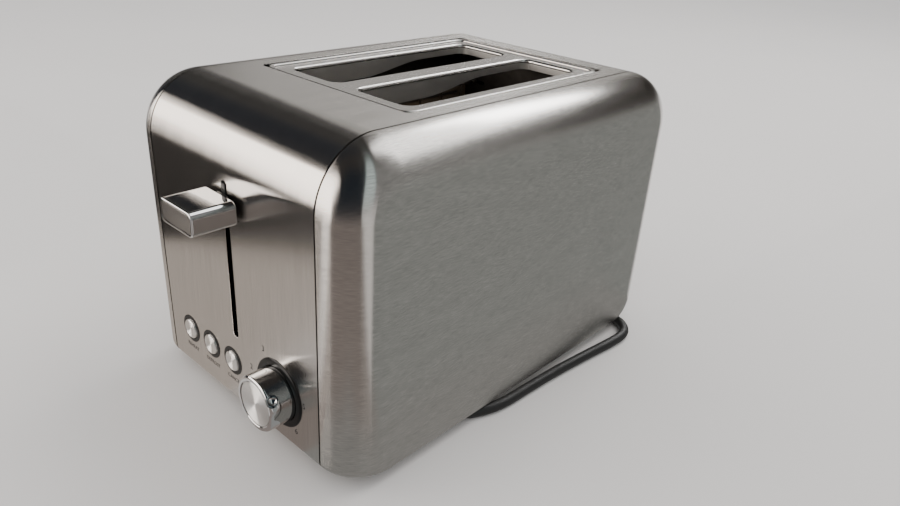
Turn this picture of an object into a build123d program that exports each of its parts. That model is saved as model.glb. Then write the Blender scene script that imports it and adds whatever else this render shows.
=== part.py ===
from build123d import *
import math
import os

# A two-slice toaster with its lever and controls on one end, in millimetres.
# X runs across the body, the controls face -Y, and Z = 0 is the worktop.
# The origin is under the middle of the toaster's own box, lever and tray pull included.

os.makedirs("parts", exist_ok=True)

# Body
body_length = 280.0
body_width = 189.2
body_height = 183.4
floor_gap = 8.0
roll = 22.5
top_corner_inner = 11.7
bottom_corner = 13.0
front_corner = 6.0
skin = 0.8
seam_gap = 0.6
roll_strips = 8
lip_length = 8.0
flange_width = 7.4

# Lever and its slot in the front
lever_reach = 26.5
lever_knob_width = 29.8
lever_knob_height = 12.9
lever_gap = 2.6
lever_slot_width = 4.8
lever_slot_low = 55.0
arm_thickness = 3.6
arm_below = 12.6
arm_rest = 25.0

# Top trim and bread slots
trim_side = 34.3
trim_border = 11.4
trim_back = 10.0
trim_gap = 0.5
trim_recess = 1.2
trim_rim_width = 2.0
trim_corner = 8.0
slot_border = 11.3
slot_corner = 6.5
slot_bar = 15.0
chute_wall = 0.6
chute_depth = 21.0

# Base, feet and crumb tray
base_floor = 25.0
base_wall = 2.5
base_clear = 0.3
rim_wall = 2.0
foot_radius = 10.0
foot_height = 9.0
tray_depth = 7.4
tray_travel = 190.0
tray_pull_reach = 6.0
slide_clear = 0.3

# Oven
oven_ends = 52.0
oven_sides = 28.6
oven_margin = 14.5
plate_thickness = 1.0
card_thickness = 0.8
card_back = 4.8
ribbon_rows = 12
ribbon_pitch = 8.0
ribbon_width = 1.6
ribbon_thickness = 0.4

# Bread racks and centring guides
rack_down = 65.4
rack_height = 8.0
rack_thickness = 1.2
rack_half = 7.0
rack_tabs = 8
guide_travel = 8.0
guide_margin = 2.1
guide_wire = 1.0
guide_thin_wire = 0.8
guide_wires = 8
guide_low = 45.0
guide_down = 29.4
wire_clear = 0.3

# Carriage in the control bay
carriage_half = 37.0
carriage_height = 32.0
carriage_down = 4.0
carriage_plate = 1.2
bushing_width = 16.0
bushing_depth = 17.0
bushing_height = 24.0
rod_radius = 3.0
rod_clear = 0.08
rod_x = 14.0
spring_radius = 5.3
spring_wire = 1.2
spring_turns = 14
cam_width = 5.0
cam_clear = 0.3
peg_radius = 1.5
peg_up = 18.0
upper_cam_x = -10.0
lower_cam_x = 14.0

# Controls
button_x = -50.0
button_pitch = 22.25
button_z = 36.8
button_radius = 6.1
button_proud = 1.3
button_step = 0.4
button_travel = 2.0
bezel_radius = 8.7
bezel_proud = 0.3
knob_x = 38.5
knob_z = 39.5
knob_radius = 15.45
knob_reach = 15.0
knob_face_radius = 12.3
knob_bezel_radius = 19.6
knob_bezel_proud = 0.9
notch_radius = 3.2
notch_depth = 2.2
shaft_radius = 3.0
pointer_angle = 58.0
turning_clear = 0.5
fit_clear = 0.05
board_back = 12.0
board_thickness = 1.6

# Screws
screw_radius = 1.4
screw_head = 2.9
screw_head_height = 2.0
screw_length = 12.0
screw_hole = 1.6
boss_radius = 4.0

# Mains cord, laid loosely round the hooks under the base and out past the right side
cord_diameter = 6.8
cord_floor = 3.5
gland_x = -56.0
gland_in = 7.8
gland_z = 15.5
relief_length = 28.0
plug_x = -22.0
plug_y = -10.0
plug_z = 9.7

# Places that follow from the sizes above
mid_y = (lever_reach - tray_pull_reach) / 2
front_y = mid_y - body_length / 2
rear_y = mid_y + body_length / 2
wrap_half = body_width / 2 - roll
top_corner = roll + top_corner_inner
wrap_edge = wrap_half - seam_gap / 2
inner_top = body_height - skin
lip_end = body_length / 2 - bottom_corner - lip_length
base_top = base_floor + base_wall
trim_width = body_width - 2 * trim_side
oven_length = body_length - 2 * oven_ends
slot_length = oven_length - 2 * oven_margin
trim_length = slot_length + 2 * trim_border
slot_width = (trim_width - slot_bar) / 2 - slot_border
slot_x = (slot_bar + slot_width) / 2
trim_y = mid_y + trim_back
oven_front = trim_y - oven_length / 2
oven_rear = trim_y + oven_length / 2
bay_y = oven_front - plate_thickness
pan_inner = body_width / 2 - skin
oven_half = body_width / 2 - oven_sides
shield_x = oven_half - 5.8
card_x = shield_x - card_back
tray_half = oven_half - 13.0
foot_x = oven_half
foot_y = body_length / 2 - 50.0
gland_y = lip_end - gland_in
rack_top = body_height - rack_down
guide_high = body_height - guide_down
lever_slot_high = body_height - top_corner - 3.2
lever_knob_z = lever_slot_high - arm_below
lever_travel = lever_slot_high - lever_slot_low - arm_rest
carriage_high = lever_slot_high - carriage_down
carriage_low = carriage_high - carriage_height
peg_z = carriage_low + peg_up


def loaf(x, shrink, inset):
    """Side profile of the body at one X. Shrink draws in the ends and the top, inset is all round."""
    half = body_length / 2 - shrink - inset
    low, high = floor_gap + inset, body_height - shrink - inset
    plane = Plane(origin=(x, mid_y, 0), x_dir=(0, 1, 0), z_dir=(1, 0, 0))
    with BuildSketch(plane) as profile:
        with Locations((0, (low + high) / 2)):
            Rectangle(2 * half, high - low)
        fillet(profile.vertices().group_by(Axis.Y)[-1], top_corner - shrink - inset)
        fillet(profile.vertices().group_by(Axis.Y)[0].sort_by(Axis.X)[0], front_corner - inset)
        fillet(profile.vertices().group_by(Axis.Y)[0].sort_by(Axis.X)[-1], bottom_corner - inset)
    return profile.sketch


def facing_front(y):
    """Plane across the body at that Y, drawn in X and Z and facing the user."""
    return Plane(origin=(0, y, 0), x_dir=(1, 0, 0), z_dir=(0, -1, 0))


def block(x, y, z, mode=Mode.ADD):
    """Box between two X, two Y and two Z values."""
    with Locations(((x[0] + x[1]) / 2, (y[0] + y[1]) / 2, (z[0] + z[1]) / 2)):
        Box(abs(x[1] - x[0]), abs(y[1] - y[0]), abs(z[1] - z[0]), mode=mode)


def rod(start, end, radius, mode=Mode.ADD):
    """Round bar from one point to another."""
    reach = Vector(*end) - Vector(*start)
    with Locations(Plane(origin=start, z_dir=reach)):
        Cylinder(radius, reach.length, align=(Align.CENTER, Align.CENTER, Align.MIN), mode=mode)


def screw(head, direction):
    """Pan-head screw whose head sits at a point, with its shank along the direction."""
    seat = Vector(*head)
    along = Vector(*direction).normalized()
    rod(seat - along * screw_head_height, seat, screw_head)
    rod(seat, seat + along * screw_length, screw_radius)


def corners(x, y):
    """The four points at plus and minus x and y about the middle of the body."""
    return [(sx * x, mid_y + sy * y) for sx in (-1, 1) for sy in (-1, 1)]


lip_screws = corners(45.0, lip_end + lip_length / 2)
flange_screws = corners(pan_inner - flange_width / 2 + 0.2, body_length / 2 - 80.0)
foot_places = corners(foot_x, foot_y)

# Stainless sheet that runs up the front, over the top and down the back
trim_open = (trim_width + 2 * trim_gap, trim_length + 2 * trim_gap)
tray_low = base_top + skin + slide_clear
tray_high = tray_low + tray_depth
tray_door_half = tray_half + 0.8
button_places = [(button_x + n * button_pitch, button_z) for n in range(3)]
bezel_tube = bezel_radius - 1.0
knob_tube = knob_bezel_radius - 2.2

with BuildPart() as wrap_panel:
    extrude(loaf(-wrap_edge, 0, 0), amount=2 * wrap_edge)
    extrude(loaf(-wrap_edge, 0, skin), amount=2 * wrap_edge, mode=Mode.SUBTRACT)
    block((-wrap_half, wrap_half), (mid_y - lip_end, mid_y + lip_end),
          (floor_gap - skin, floor_gap + 2 * skin), Mode.SUBTRACT)
    with BuildSketch(Plane.XY.offset(inner_top - skin)):
        with Locations((0, trim_y)):
            RectangleRounded(*trim_open, trim_corner / 3)
    extrude(amount=3 * skin, mode=Mode.SUBTRACT)
    with BuildSketch(facing_front(front_y - skin)):
        with Locations((0, (lever_slot_low + lever_slot_high) / 2)):
            SlotOverall(lever_slot_high - lever_slot_low, lever_slot_width, rotation=90)
        with Locations(*button_places):
            Circle(bezel_tube + fit_clear)
        with Locations((knob_x, knob_z)):
            Circle(knob_tube + fit_clear)
    extrude(amount=-3 * skin, mode=Mode.SUBTRACT)
    block((-tray_door_half, tray_door_half), (rear_y - 3 * skin, rear_y + skin),
          (tray_low - slide_clear, tray_high + 2 * slide_clear), Mode.SUBTRACT)
    for x, y in lip_screws:
        rod((x, y, floor_gap - skin), (x, y, floor_gap + 2 * skin), screw_hole, Mode.SUBTRACT)
wrap_panel.part.label = "wrap_panel"
export_step(wrap_panel.part, "parts/wrap_panel.step")

# Deep-drawn side panel, its edge rolled over the front, top and back
angles = [math.radians(90 * n / roll_strips) for n in range(roll_strips + 1)]
inner_roll = roll - skin
outer_rings = [loaf(wrap_half + max(roll * math.sin(a), seam_gap / 2), roll * (1 - math.cos(a)), 0)
               for a in angles]
inner_rings = [loaf(wrap_half + inner_roll * math.sin(a), inner_roll * (1 - math.cos(a)), skin)
               for a in angles]

with BuildPart() as right_side_panel:
    loft(outer_rings, ruled=True)
    loft(inner_rings, ruled=True, mode=Mode.SUBTRACT)
    block((wrap_half - skin, pan_inner - flange_width), (mid_y - lip_end, mid_y + lip_end),
          (floor_gap - skin, floor_gap + 2 * skin), Mode.SUBTRACT)
    for x, y in flange_screws:
        rod((abs(x), y, floor_gap - skin), (abs(x), y, floor_gap + 2 * skin), screw_hole, Mode.SUBTRACT)
right_side_panel.part.label = "right_side_panel"
export_step(right_side_panel.part, "parts/right_side_panel.step")

with BuildPart() as left_side_panel:
    mirror(right_side_panel.part, about=Plane.YZ)
left_side_panel.part.label = "left_side_panel"
export_step(left_side_panel.part, "parts/left_side_panel.step")

# Black frame behind each seam, which the wrap and the side panel both sit on
frame_wall = 2.6
frame_width = 8.6
frame_tongue = 3.5
tongue_drop = 0.9
frame_start = wrap_half - frame_width

with BuildPart() as seam_frame_right:
    extrude(loaf(frame_start, 0, skin), amount=frame_width)
    extrude(loaf(wrap_half, 0, skin + tongue_drop), amount=frame_tongue)
    extrude(loaf(frame_start, 0, skin + frame_wall), amount=frame_width + frame_tongue, mode=Mode.SUBTRACT)
    block((frame_start - 1, wrap_half + frame_tongue + 1), (front_y, rear_y), (0, base_top), Mode.SUBTRACT)
seam_frame_right.part.label = "seam_frame_right"
export_step(seam_frame_right.part, "parts/seam_frame_right.step")

with BuildPart() as seam_frame_left:
    mirror(seam_frame_right.part, about=Plane.YZ)
seam_frame_left.part.label = "seam_frame_left"
export_step(seam_frame_left.part, "parts/seam_frame_left.step")

# Sunk trim plate with the two bread slots
trim_field = body_height - trim_recess
trim_under = trim_field - skin
trim_flange = 3.0
flange_cut = 2 * (trim_corner + trim_flange)
slot_places = [(-slot_x, trim_y), (slot_x, trim_y)]

with BuildPart() as trim_plate:
    with BuildSketch(Plane.XY.offset(trim_under)):
        with Locations((0, trim_y)):
            RectangleRounded(trim_width, trim_length, trim_corner)
    extrude(amount=body_height - 0.2 - trim_under)
    with BuildSketch(Plane.XY.offset(trim_under)):
        with Locations((0, trim_y)):
            Rectangle(trim_width + 2 * trim_flange, trim_length - flange_cut)
            Rectangle(trim_width - flange_cut, trim_length + 2 * trim_flange)
    extrude(amount=inner_top - trim_under)
    with BuildSketch(Plane.XY.offset(trim_field)):
        with Locations((0, trim_y)):
            RectangleRounded(trim_width - 2 * trim_rim_width, trim_length - 2 * trim_rim_width,
                             trim_corner - trim_rim_width)
    extrude(amount=2 * trim_recess, mode=Mode.SUBTRACT)
    with BuildSketch(Plane.XY.offset(trim_under - skin)):
        with Locations(*slot_places):
            RectangleRounded(slot_width, slot_length, slot_corner)
    extrude(amount=4 * skin, mode=Mode.SUBTRACT)
trim_plate.part.label = "trim_plate"
export_step(trim_plate.part, "parts/trim_plate.step")

# Polished chute under each slot
chute_flange = 2.5
chute_low = trim_under - chute_depth

with BuildPart() as slot_chutes:
    with BuildSketch(Plane.XY.offset(chute_low)):
        with Locations(*slot_places):
            RectangleRounded(slot_width + 2 * chute_wall, slot_length + 2 * chute_wall, slot_corner + chute_wall)
    extrude(amount=chute_depth)
    with BuildSketch(Plane.XY.offset(trim_under - chute_wall)):
        with Locations(*slot_places):
            RectangleRounded(slot_width + 2 * chute_flange, slot_length + 2 * chute_flange,
                             slot_corner + chute_flange)
    extrude(amount=chute_wall)
    with BuildSketch(Plane.XY.offset(chute_low)):
        with Locations(*slot_places):
            RectangleRounded(slot_width, slot_length, slot_corner)
    extrude(amount=chute_depth, mode=Mode.SUBTRACT)
slot_chutes.part.label = "slot_chutes"
export_step(slot_chutes.part, "parts/slot_chutes.step")

# Moulded base, hollow below for the cord, with its feet's bosses, hooks and gland box
rim_low = floor_gap + skin
rim_half_x = pan_inner - flange_width + rim_wall + 0.2
rim_half_y = lip_end + 1.5
base_half_x = pan_inner - base_clear
base_half_y = body_length / 2 - skin - base_clear
hook_places = [(42.0, -32.0), (46.0, 48.0), (-48.0, 46.0), (-52.0, -46.0)]
hook_arm = 9.0
hook_wall = 2.4
hook_low = 2.0
gland_wall = 3.0
gland_half = 9.0
gland_depth = 20.0
gland_low = 8.0
gland_end = lip_end - 0.4
relief_neck = 4.4
end_foot = 9.0
front_screw = (oven_half - 8.0, bay_y - 4.5)
rear_screw = (oven_half - 5.5, oven_rear + plate_thickness + 3.2)
chassis_screws_xy = [(side * x, y) for x, y in (front_screw, rear_screw) for side in (-1, 1)]

with BuildPart() as base_pan:
    with BuildSketch(Plane.XY.offset(base_floor)):
        with Locations((0, mid_y)):
            RectangleRounded(2 * base_half_x, 2 * base_half_y, roll - skin - base_clear)
    extrude(amount=base_wall)
    with BuildSketch(Plane.XY.offset(rim_low)):
        with Locations((0, mid_y)):
            RectangleRounded(2 * rim_half_x, 2 * rim_half_y, 12)
            RectangleRounded(2 * (rim_half_x - rim_wall), 2 * (rim_half_y - rim_wall), 10, mode=Mode.SUBTRACT)
    extrude(amount=base_floor - rim_low)
    for x, y in lip_screws + flange_screws:
        rod((x, y, rim_low), (x, y, base_floor), boss_radius - 0.6)
    for x, y in foot_places:
        rod((x, y, foot_height), (x, y, base_floor), foot_radius + 0.5)
    for x, y in chassis_screws_xy:
        rod((x, y, base_floor - 11), (x, y, base_floor), boss_radius)
    for x, y in hook_places:
        sx, sy = math.copysign(1, x), math.copysign(1, y)
        block((x, x - sx * hook_arm), (mid_y + y, mid_y + y - sy * hook_wall), (hook_low, base_floor))
        block((x, x - sx * hook_wall), (mid_y + y, mid_y + y - sy * hook_arm), (hook_low, base_floor))
    block((gland_x - gland_depth, gland_x), (mid_y + gland_y - gland_half, mid_y + gland_end),
          (gland_low, base_floor))
    block((gland_x - gland_depth + rim_wall, gland_x - gland_wall),
          (mid_y + gland_y - gland_half + rim_wall, mid_y + gland_end - rim_wall),
          (gland_low + rim_wall, base_top), Mode.SUBTRACT)
    rod((gland_x - gland_wall - 1, mid_y + gland_y, gland_z), (gland_x + 1, mid_y + gland_y, gland_z),
        relief_neck + fit_clear, Mode.SUBTRACT)
    for x, y in lip_screws + flange_screws:
        rod((x, y, rim_low), (x, y, floor_gap + screw_length + 1), screw_radius + fit_clear, Mode.SUBTRACT)
    for x, y in foot_places:
        rod((x, y, foot_height), (x, y, 3 + screw_length + 1), screw_radius + fit_clear, Mode.SUBTRACT)
    for x, y in chassis_screws_xy:
        rod((x, y, base_top + plate_thickness - screw_length - 1), (x, y, base_top), screw_radius + fit_clear,
            Mode.SUBTRACT)
base_pan.part.label = "base_pan"
export_step(base_pan.part, "parts/base_pan.step")

foot_screw_seat = 3.0
with BuildPart() as feet:
    for x, y in foot_places:
        with BuildSketch(Plane.XY):
            with Locations((x, y)):
                Circle(foot_radius)
        extrude(amount=foot_height)
    chamfer(feet.edges().filter_by(GeomType.CIRCLE).group_by(Axis.Z)[0], 1.0)
    for x, y in foot_places:
        rod((x, y, -1), (x, y, foot_screw_seat), screw_head + 0.4, Mode.SUBTRACT)
        rod((x, y, 0), (x, y, foot_height), screw_hole, Mode.SUBTRACT)
feet.part.label = "feet"
export_step(feet.part, "parts/feet.step")

with BuildPart() as case_screws:
    for x, y in lip_screws + flange_screws:
        screw((x, y, floor_gap), (0, 0, 1))
    for x, y in foot_places:
        screw((x, y, foot_screw_seat), (0, 0, 1))
case_screws.part.label = "case_screws"
export_step(case_screws.part, "parts/case_screws.step")

# Oven: end plates, heat shields, mica cards with their resistance ribbon
rack_low = rack_top - rack_height
rack_slot = rack_thickness / 2 + 0.5
guide_inner = slot_x - slot_width / 2 + guide_margin
guide_outer = slot_x + slot_width / 2 - guide_margin
tongue_high = inner_top - slide_clear
tray_gate = tray_half + 2.0
card_tab = (90.0, 110.0)
card_low = 50.0
card_high = guide_high
plate_high = inner_top - 4.6
shield_high = plate_high - 2.0
guides = {"guide_cage_far_left": (-guide_outer, 1), "guide_cage_near_left": (-guide_inner, -1),
          "guide_cage_near_right": (guide_inner, 1), "guide_cage_far_right": (guide_outer, -1)}


def end_plate(y, foot_y):
    """Vertical sheet across one end of the oven, with the slots that the moving wires and racks run in."""
    face = (y, y + plate_thickness)
    past = (y - 1, y + plate_thickness + 1)
    block((-oven_half, oven_half), face, (base_top, plate_high))
    block((8 - oven_half, oven_half - 8), face, (plate_high, tongue_high))
    block((-oven_half, oven_half), foot_y, (base_top, base_top + plate_thickness))
    for sx in (-1, 1):
        block((sx * slot_x - rack_slot, sx * slot_x + rack_slot), past,
              (rack_low - lever_travel - 2, rack_top + 3), Mode.SUBTRACT)
        block((sx * card_x, sx * (card_x + card_thickness)), past, card_tab, Mode.SUBTRACT)
    block((-card_thickness / 2, card_thickness / 2), past, card_tab, Mode.SUBTRACT)
    reach = guide_wire + wire_clear
    for x, way in guides.values():
        for z in (guide_low, guide_high):
            block((x - way * reach, x + way * (guide_travel + reach)), past, (z - reach, z + reach),
                  Mode.SUBTRACT)


with BuildPart() as front_end_plate:
    end_plate(bay_y, (bay_y - end_foot, bay_y))
    for x, y in chassis_screws_xy[:2]:
        rod((x, y, base_top - 1), (x, y, base_top + 2), screw_hole, Mode.SUBTRACT)
front_end_plate.part.label = "front_end_plate"
export_step(front_end_plate.part, "parts/front_end_plate.step")

rear_plate_y = oven_rear + plate_thickness
with BuildPart() as rear_end_plate:
    end_plate(oven_rear, (rear_plate_y, rear_plate_y + 5.0))
    block((-tray_gate, tray_gate), (oven_rear - 1, rear_y), (0, tray_high + 1.4), Mode.SUBTRACT)
    for x, y in chassis_screws_xy[2:]:
        rod((x, y, base_top - 1), (x, y, base_top + 2), screw_hole, Mode.SUBTRACT)
rear_end_plate.part.label = "rear_end_plate"
export_step(rear_end_plate.part, "parts/rear_end_plate.step")

with BuildPart() as heat_shield_right:
    block((shield_x, shield_x + skin), (oven_front, oven_rear), (40.0, shield_high))
    for y in ((oven_front, oven_front + skin), (oven_rear - skin, oven_rear)):
        block((shield_x, oven_half), y, (40.0, shield_high))
heat_shield_right.part.label = "heat_shield_right"
export_step(heat_shield_right.part, "parts/heat_shield_right.step")

with BuildPart() as heat_shield_left:
    mirror(heat_shield_right.part, about=Plane.YZ)
heat_shield_left.part.label = "heat_shield_left"
export_step(heat_shield_left.part, "parts/heat_shield_left.step")

card_faces = {"heater_card_right": card_x, "heater_card_centre": -card_thickness / 2,
              "heater_card_left": -card_x - card_thickness}
for name, x in card_faces.items():
    with BuildPart() as card:
        block((x, x + card_thickness), (oven_front, oven_rear), (card_low, card_high))
        block((x, x + card_thickness), (oven_front - 2 * plate_thickness, oven_rear + 2 * plate_thickness),
              (card_tab[0] + 1, card_tab[1] - 1))
    card.part.label = name
    export_step(card.part, f"parts/{name}.step")


def ribbon(x):
    """One zigzag of flat resistance ribbon on a card's face."""
    start, end = oven_front + 10, oven_rear - 10
    low = (card_low + card_high - (ribbon_rows - 1) * ribbon_pitch) / 2
    for row in range(ribbon_rows):
        z = low + row * ribbon_pitch
        block(x, (start, end), (z - ribbon_width / 2, z + ribbon_width / 2))
        if row < ribbon_rows - 1:
            side = (end - ribbon_width, end) if row % 2 else (start, start + ribbon_width)
            block(x, side, (z, z + ribbon_pitch))


with BuildPart() as heater_ribbons:
    for face in (card_x, card_thickness / 2 + ribbon_thickness):
        ribbon((face - ribbon_thickness, face))
        ribbon((-face, ribbon_thickness - face))
heater_ribbons.part.label = "heater_ribbons"
export_step(heater_ribbons.part, "parts/heater_ribbons.step")

# Crumb tray, its rails and its pull
rail_wall = 1.0
rail_start = oven_front + 2
rail_end = rear_y - skin - 0.5

with BuildPart() as tray_rails:
    web = tray_half + slide_clear
    for sx in (-1, 1):
        block((sx * web, sx * (web + rail_wall)), (rail_start, rail_end), (base_top, tray_high + 1.1))
        block((sx * (web - 5), sx * (web + rail_wall)), (rail_start, rail_end), (base_top, base_top + skin))
        block((sx * (web - 3), sx * (web + rail_wall)), (rail_start, rail_end),
              (tray_high + slide_clear, tray_high + 1.1))
tray_rails.part.label = "tray_rails"
export_step(tray_rails.part, "parts/tray_rails.step")

tray_start = oven_front + 3
tray_end = rear_y + slide_clear
with BuildPart() as crumb_tray:
    block((-tray_half, tray_half), (tray_start, tray_end), (tray_low, tray_high))
    block((skin - tray_half, tray_half - skin), (tray_start + skin, tray_end - skin),
          (tray_low + skin, tray_high + 1), Mode.SUBTRACT)
crumb_tray.part.label = "crumb_tray"
export_step(crumb_tray.part, "parts/crumb_tray.step")

pull_plate = 2.0
pull_half = tray_door_half + 3.0
with BuildPart() as tray_pull:
    block((-pull_half, pull_half), (tray_end, tray_end + pull_plate), (tray_low - 2.2, tray_high + 2.6))
    fillet(tray_pull.edges().filter_by(Axis.Y), 2.0)
    block((-28, 28), (tray_end + pull_plate - 0.5, rear_y + tray_pull_reach), (tray_high - 0.6, tray_high + 2.0))
    fillet(tray_pull.edges().filter_by(Axis.X).group_by(Axis.Y)[-1], 0.8)
tray_pull.part.label = "tray_pull"
export_step(tray_pull.part, "parts/tray_pull.step")

# Bread racks, which pass through both end plates
carriage_back = bay_y - 7.8
carriage_front = carriage_back - carriage_plate

with BuildPart() as bread_rack_right:
    block((slot_x - rack_thickness / 2, slot_x + rack_thickness / 2), (carriage_back, rear_plate_y + 4),
          (rack_low, rack_top))
    block((slot_x - rack_thickness / 2, slot_x + rack_half), (carriage_back, carriage_back + 1),
          (rack_low, rack_top))
    for n in range(rack_tabs):
        y = trim_y + (n / (rack_tabs - 1) - 0.5) * (slot_length - 7.0)
        block((slot_x - rack_half, slot_x + rack_half), (y - 2.5, y + 2.5), (rack_top - 1, rack_top))
bread_rack_right.part.label = "bread_rack_right"
export_step(bread_rack_right.part, "parts/bread_rack_right.step")

with BuildPart() as bread_rack_left:
    mirror(bread_rack_right.part, about=Plane.YZ)
bread_rack_left.part.label = "bread_rack_left"
export_step(bread_rack_left.part, "parts/bread_rack_left.step")

# Wire cages that close on the bread, and the two bars that move them
bar_y = (bay_y - 5.5, bay_y - 4.3)
cam_slope = guide_travel / lever_travel
cam_half = cam_width / 2 / math.cos(math.atan(cam_slope))
peg_off = (cam_width / 2 + cam_clear + peg_radius) / math.cos(math.atan(cam_slope))

for name, (x, way) in guides.items():
    with BuildPart() as cage:
        for z, held in ((guide_low, way < 0), (guide_high, way > 0)):
            rod((x, bar_y[1] if held else bay_y - 2, z), (x, rear_plate_y + 3, z), guide_wire)
        for n in range(guide_wires):
            y = trim_y + (n / (guide_wires - 1) - 0.5) * slot_length
            rod((x, y, guide_low), (x, y, guide_high), guide_thin_wire)
    cage.part.label = name
    export_step(cage.part, f"parts/{name}.step")


def cam_strip(x, slope, low, high):
    """Slanted strip that passes x at the pegs' height and is driven sideways by them."""
    ends = [x + slope * (peg_z - z) for z in (low, high)]
    with BuildSketch(facing_front(bar_y[1])) as strip:
        with BuildLine():
            Polyline((ends[0] - cam_half, low), (ends[0] + cam_half, low),
                     (ends[1] + cam_half, high), (ends[1] - cam_half, high), close=True)
        make_face()
    return strip.sketch


bar_end = 4.0
upper_bar = (guide_high - 4, guide_high + 4)
lower_bar = (guide_low - 14, guide_low - 7)
with BuildPart() as guide_bar_upper:
    block((-guide_outer - bar_end, guide_inner + bar_end), bar_y, upper_bar)
    extrude(cam_strip(upper_cam_x, -cam_slope, peg_z - lever_travel - 8, upper_bar[0] + 1),
            amount=bar_y[1] - bar_y[0])
guide_bar_upper.part.label = "guide_bar_upper"
export_step(guide_bar_upper.part, "parts/guide_bar_upper.step")

with BuildPart() as guide_bar_lower:
    block((-guide_inner - bar_end, guide_outer + bar_end), bar_y, lower_bar)
    for x in (-guide_inner, guide_outer):
        block((x - bar_end, x + bar_end), bar_y, (lower_bar[0], guide_low + 4))
    extrude(cam_strip(lower_cam_x, cam_slope, lower_bar[1] - 1, peg_z + 8), amount=bar_y[1] - bar_y[0])
guide_bar_lower.part.label = "guide_bar_lower"
export_step(guide_bar_lower.part, "parts/guide_bar_lower.step")

# Carriage on its guide rod, with lever arm, knob and armature
rod_y = carriage_front - bushing_depth / 2 - 1.5
bushing_low = carriage_high - bushing_height

with BuildPart() as carriage:
    block((-carriage_half, carriage_half), (carriage_front, carriage_back), (carriage_low, carriage_high))
    block((rod_x - bushing_width / 2, rod_x + bushing_width / 2), (carriage_front - bushing_depth, carriage_front),
          (bushing_low, carriage_high))
    for x in (upper_cam_x - peg_off, upper_cam_x + peg_off, lower_cam_x - peg_off, lower_cam_x + peg_off):
        rod((x, carriage_back, peg_z), (x, bar_y[1] + 0.4, peg_z), peg_radius)
    rod((rod_x, rod_y, bushing_low - 1), (rod_x, rod_y, carriage_high + 1), rod_radius + rod_clear, Mode.SUBTRACT)
carriage.part.label = "carriage"
export_step(carriage.part, "parts/carriage.step")

knob_inner_y = front_y - lever_gap
knob_outer_y = front_y - lever_reach
collar_y = front_y - 0.6
arm_half = arm_thickness / 2
tongue = (lever_knob_z - 3.5, lever_knob_z + 3.5)
tongue_end = knob_inner_y - 12.0

with BuildPart() as lever_arm:
    block((-arm_half, arm_half), (collar_y, carriage_front), (lever_knob_z - 6, lever_knob_z + 6))
    block((-arm_half, arm_half), (collar_y, front_y + 6), (lever_slot_low + lever_travel + 1.5, lever_slot_high - 1.2))
    block((-arm_half, arm_half), (tongue_end, collar_y), tongue)
lever_arm.part.label = "lever_arm"
export_step(lever_arm.part, "parts/lever_arm.step")

with BuildPart() as lever_collar:
    block((-5.5, 5.5), (knob_inner_y, collar_y), (lever_knob_z - 8.8, lever_knob_z + 6.0))
    fillet(lever_collar.edges().filter_by(Axis.Y), 2.0)
    block((-arm_half - fit_clear, arm_half + fit_clear), (knob_inner_y - 1, collar_y + 1),
          (tongue[0] - fit_clear, tongue[1] + fit_clear), Mode.SUBTRACT)
lever_collar.part.label = "lever_collar"
export_step(lever_collar.part, "parts/lever_collar.step")

knob_half = lever_knob_width / 2
knob_low, knob_high = lever_knob_z - lever_knob_height / 2, lever_knob_z + lever_knob_height / 2
inset_rim = 1.3
inset_depth = 0.6
with BuildPart() as lever_knob:
    block((-knob_half, knob_half), (knob_outer_y, knob_inner_y), (knob_low, knob_high))
    fillet(lever_knob.edges().filter_by(Axis.Y), 2.2)
    with BuildSketch(facing_front(knob_outer_y)):
        with Locations((0, lever_knob_z)):
            RectangleRounded(lever_knob_width - 2 * inset_rim, lever_knob_height - 2 * inset_rim, 1.2)
    extrude(amount=-inset_depth, mode=Mode.SUBTRACT)
    block((-arm_half - fit_clear, arm_half + fit_clear), (tongue_end - fit_clear, knob_inner_y + 1),
          (tongue[0] - fit_clear, tongue[1] + fit_clear), Mode.SUBTRACT)
lever_knob.part.label = "lever_knob"
export_step(lever_knob.part, "parts/lever_knob.step")

with BuildPart() as lever_inset:
    with BuildSketch(facing_front(knob_outer_y + inset_depth)):
        with Locations((0, lever_knob_z)):
            RectangleRounded(lever_knob_width - 2 * inset_rim - 0.2, lever_knob_height - 2 * inset_rim - 0.2, 1.1)
    extrude(amount=inset_depth - 0.15)
lever_inset.part.label = "lever_inset"
export_step(lever_inset.part, "parts/lever_inset.step")

guard_half = 12.0
with BuildPart() as lever_slot_guard:
    block((-guard_half, guard_half), (front_y + skin, front_y + skin + 2), (lever_slot_low - 5, lever_slot_high + 3))
    with BuildSketch(facing_front(front_y)):
        with Locations((0, (lever_slot_low + lever_slot_high) / 2)):
            SlotOverall(lever_slot_high - lever_slot_low + 0.4, lever_slot_width + 0.4, rotation=90)
    extrude(amount=-4, mode=Mode.SUBTRACT)
lever_slot_guard.part.label = "lever_slot_guard"
export_step(lever_slot_guard.part, "parts/lever_slot_guard.step")

with BuildPart() as guide_rod:
    rod((rod_x, rod_y, base_top), (rod_x, rod_y, carriage_high + 4), rod_radius)
guide_rod.part.label = "guide_rod"
export_step(guide_rod.part, "parts/guide_rod.step")

bracket_x = (rod_x - bushing_width / 2, rod_x + bushing_width / 2)
bracket_low = carriage_high + 0.4
with BuildPart() as rod_bracket:
    block(bracket_x, (rod_y - 7, bay_y), (bracket_low, bracket_low + 1.5))
    block(bracket_x, (bay_y - 1.2, bay_y), (bracket_low, guide_high - 3))
    rod((rod_x, rod_y, bracket_low - 1), (rod_x, rod_y, bracket_low + 3), rod_radius + fit_clear, Mode.SUBTRACT)
rod_bracket.part.label = "rod_bracket"
export_step(rod_bracket.part, "parts/rod_bracket.step")

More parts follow.
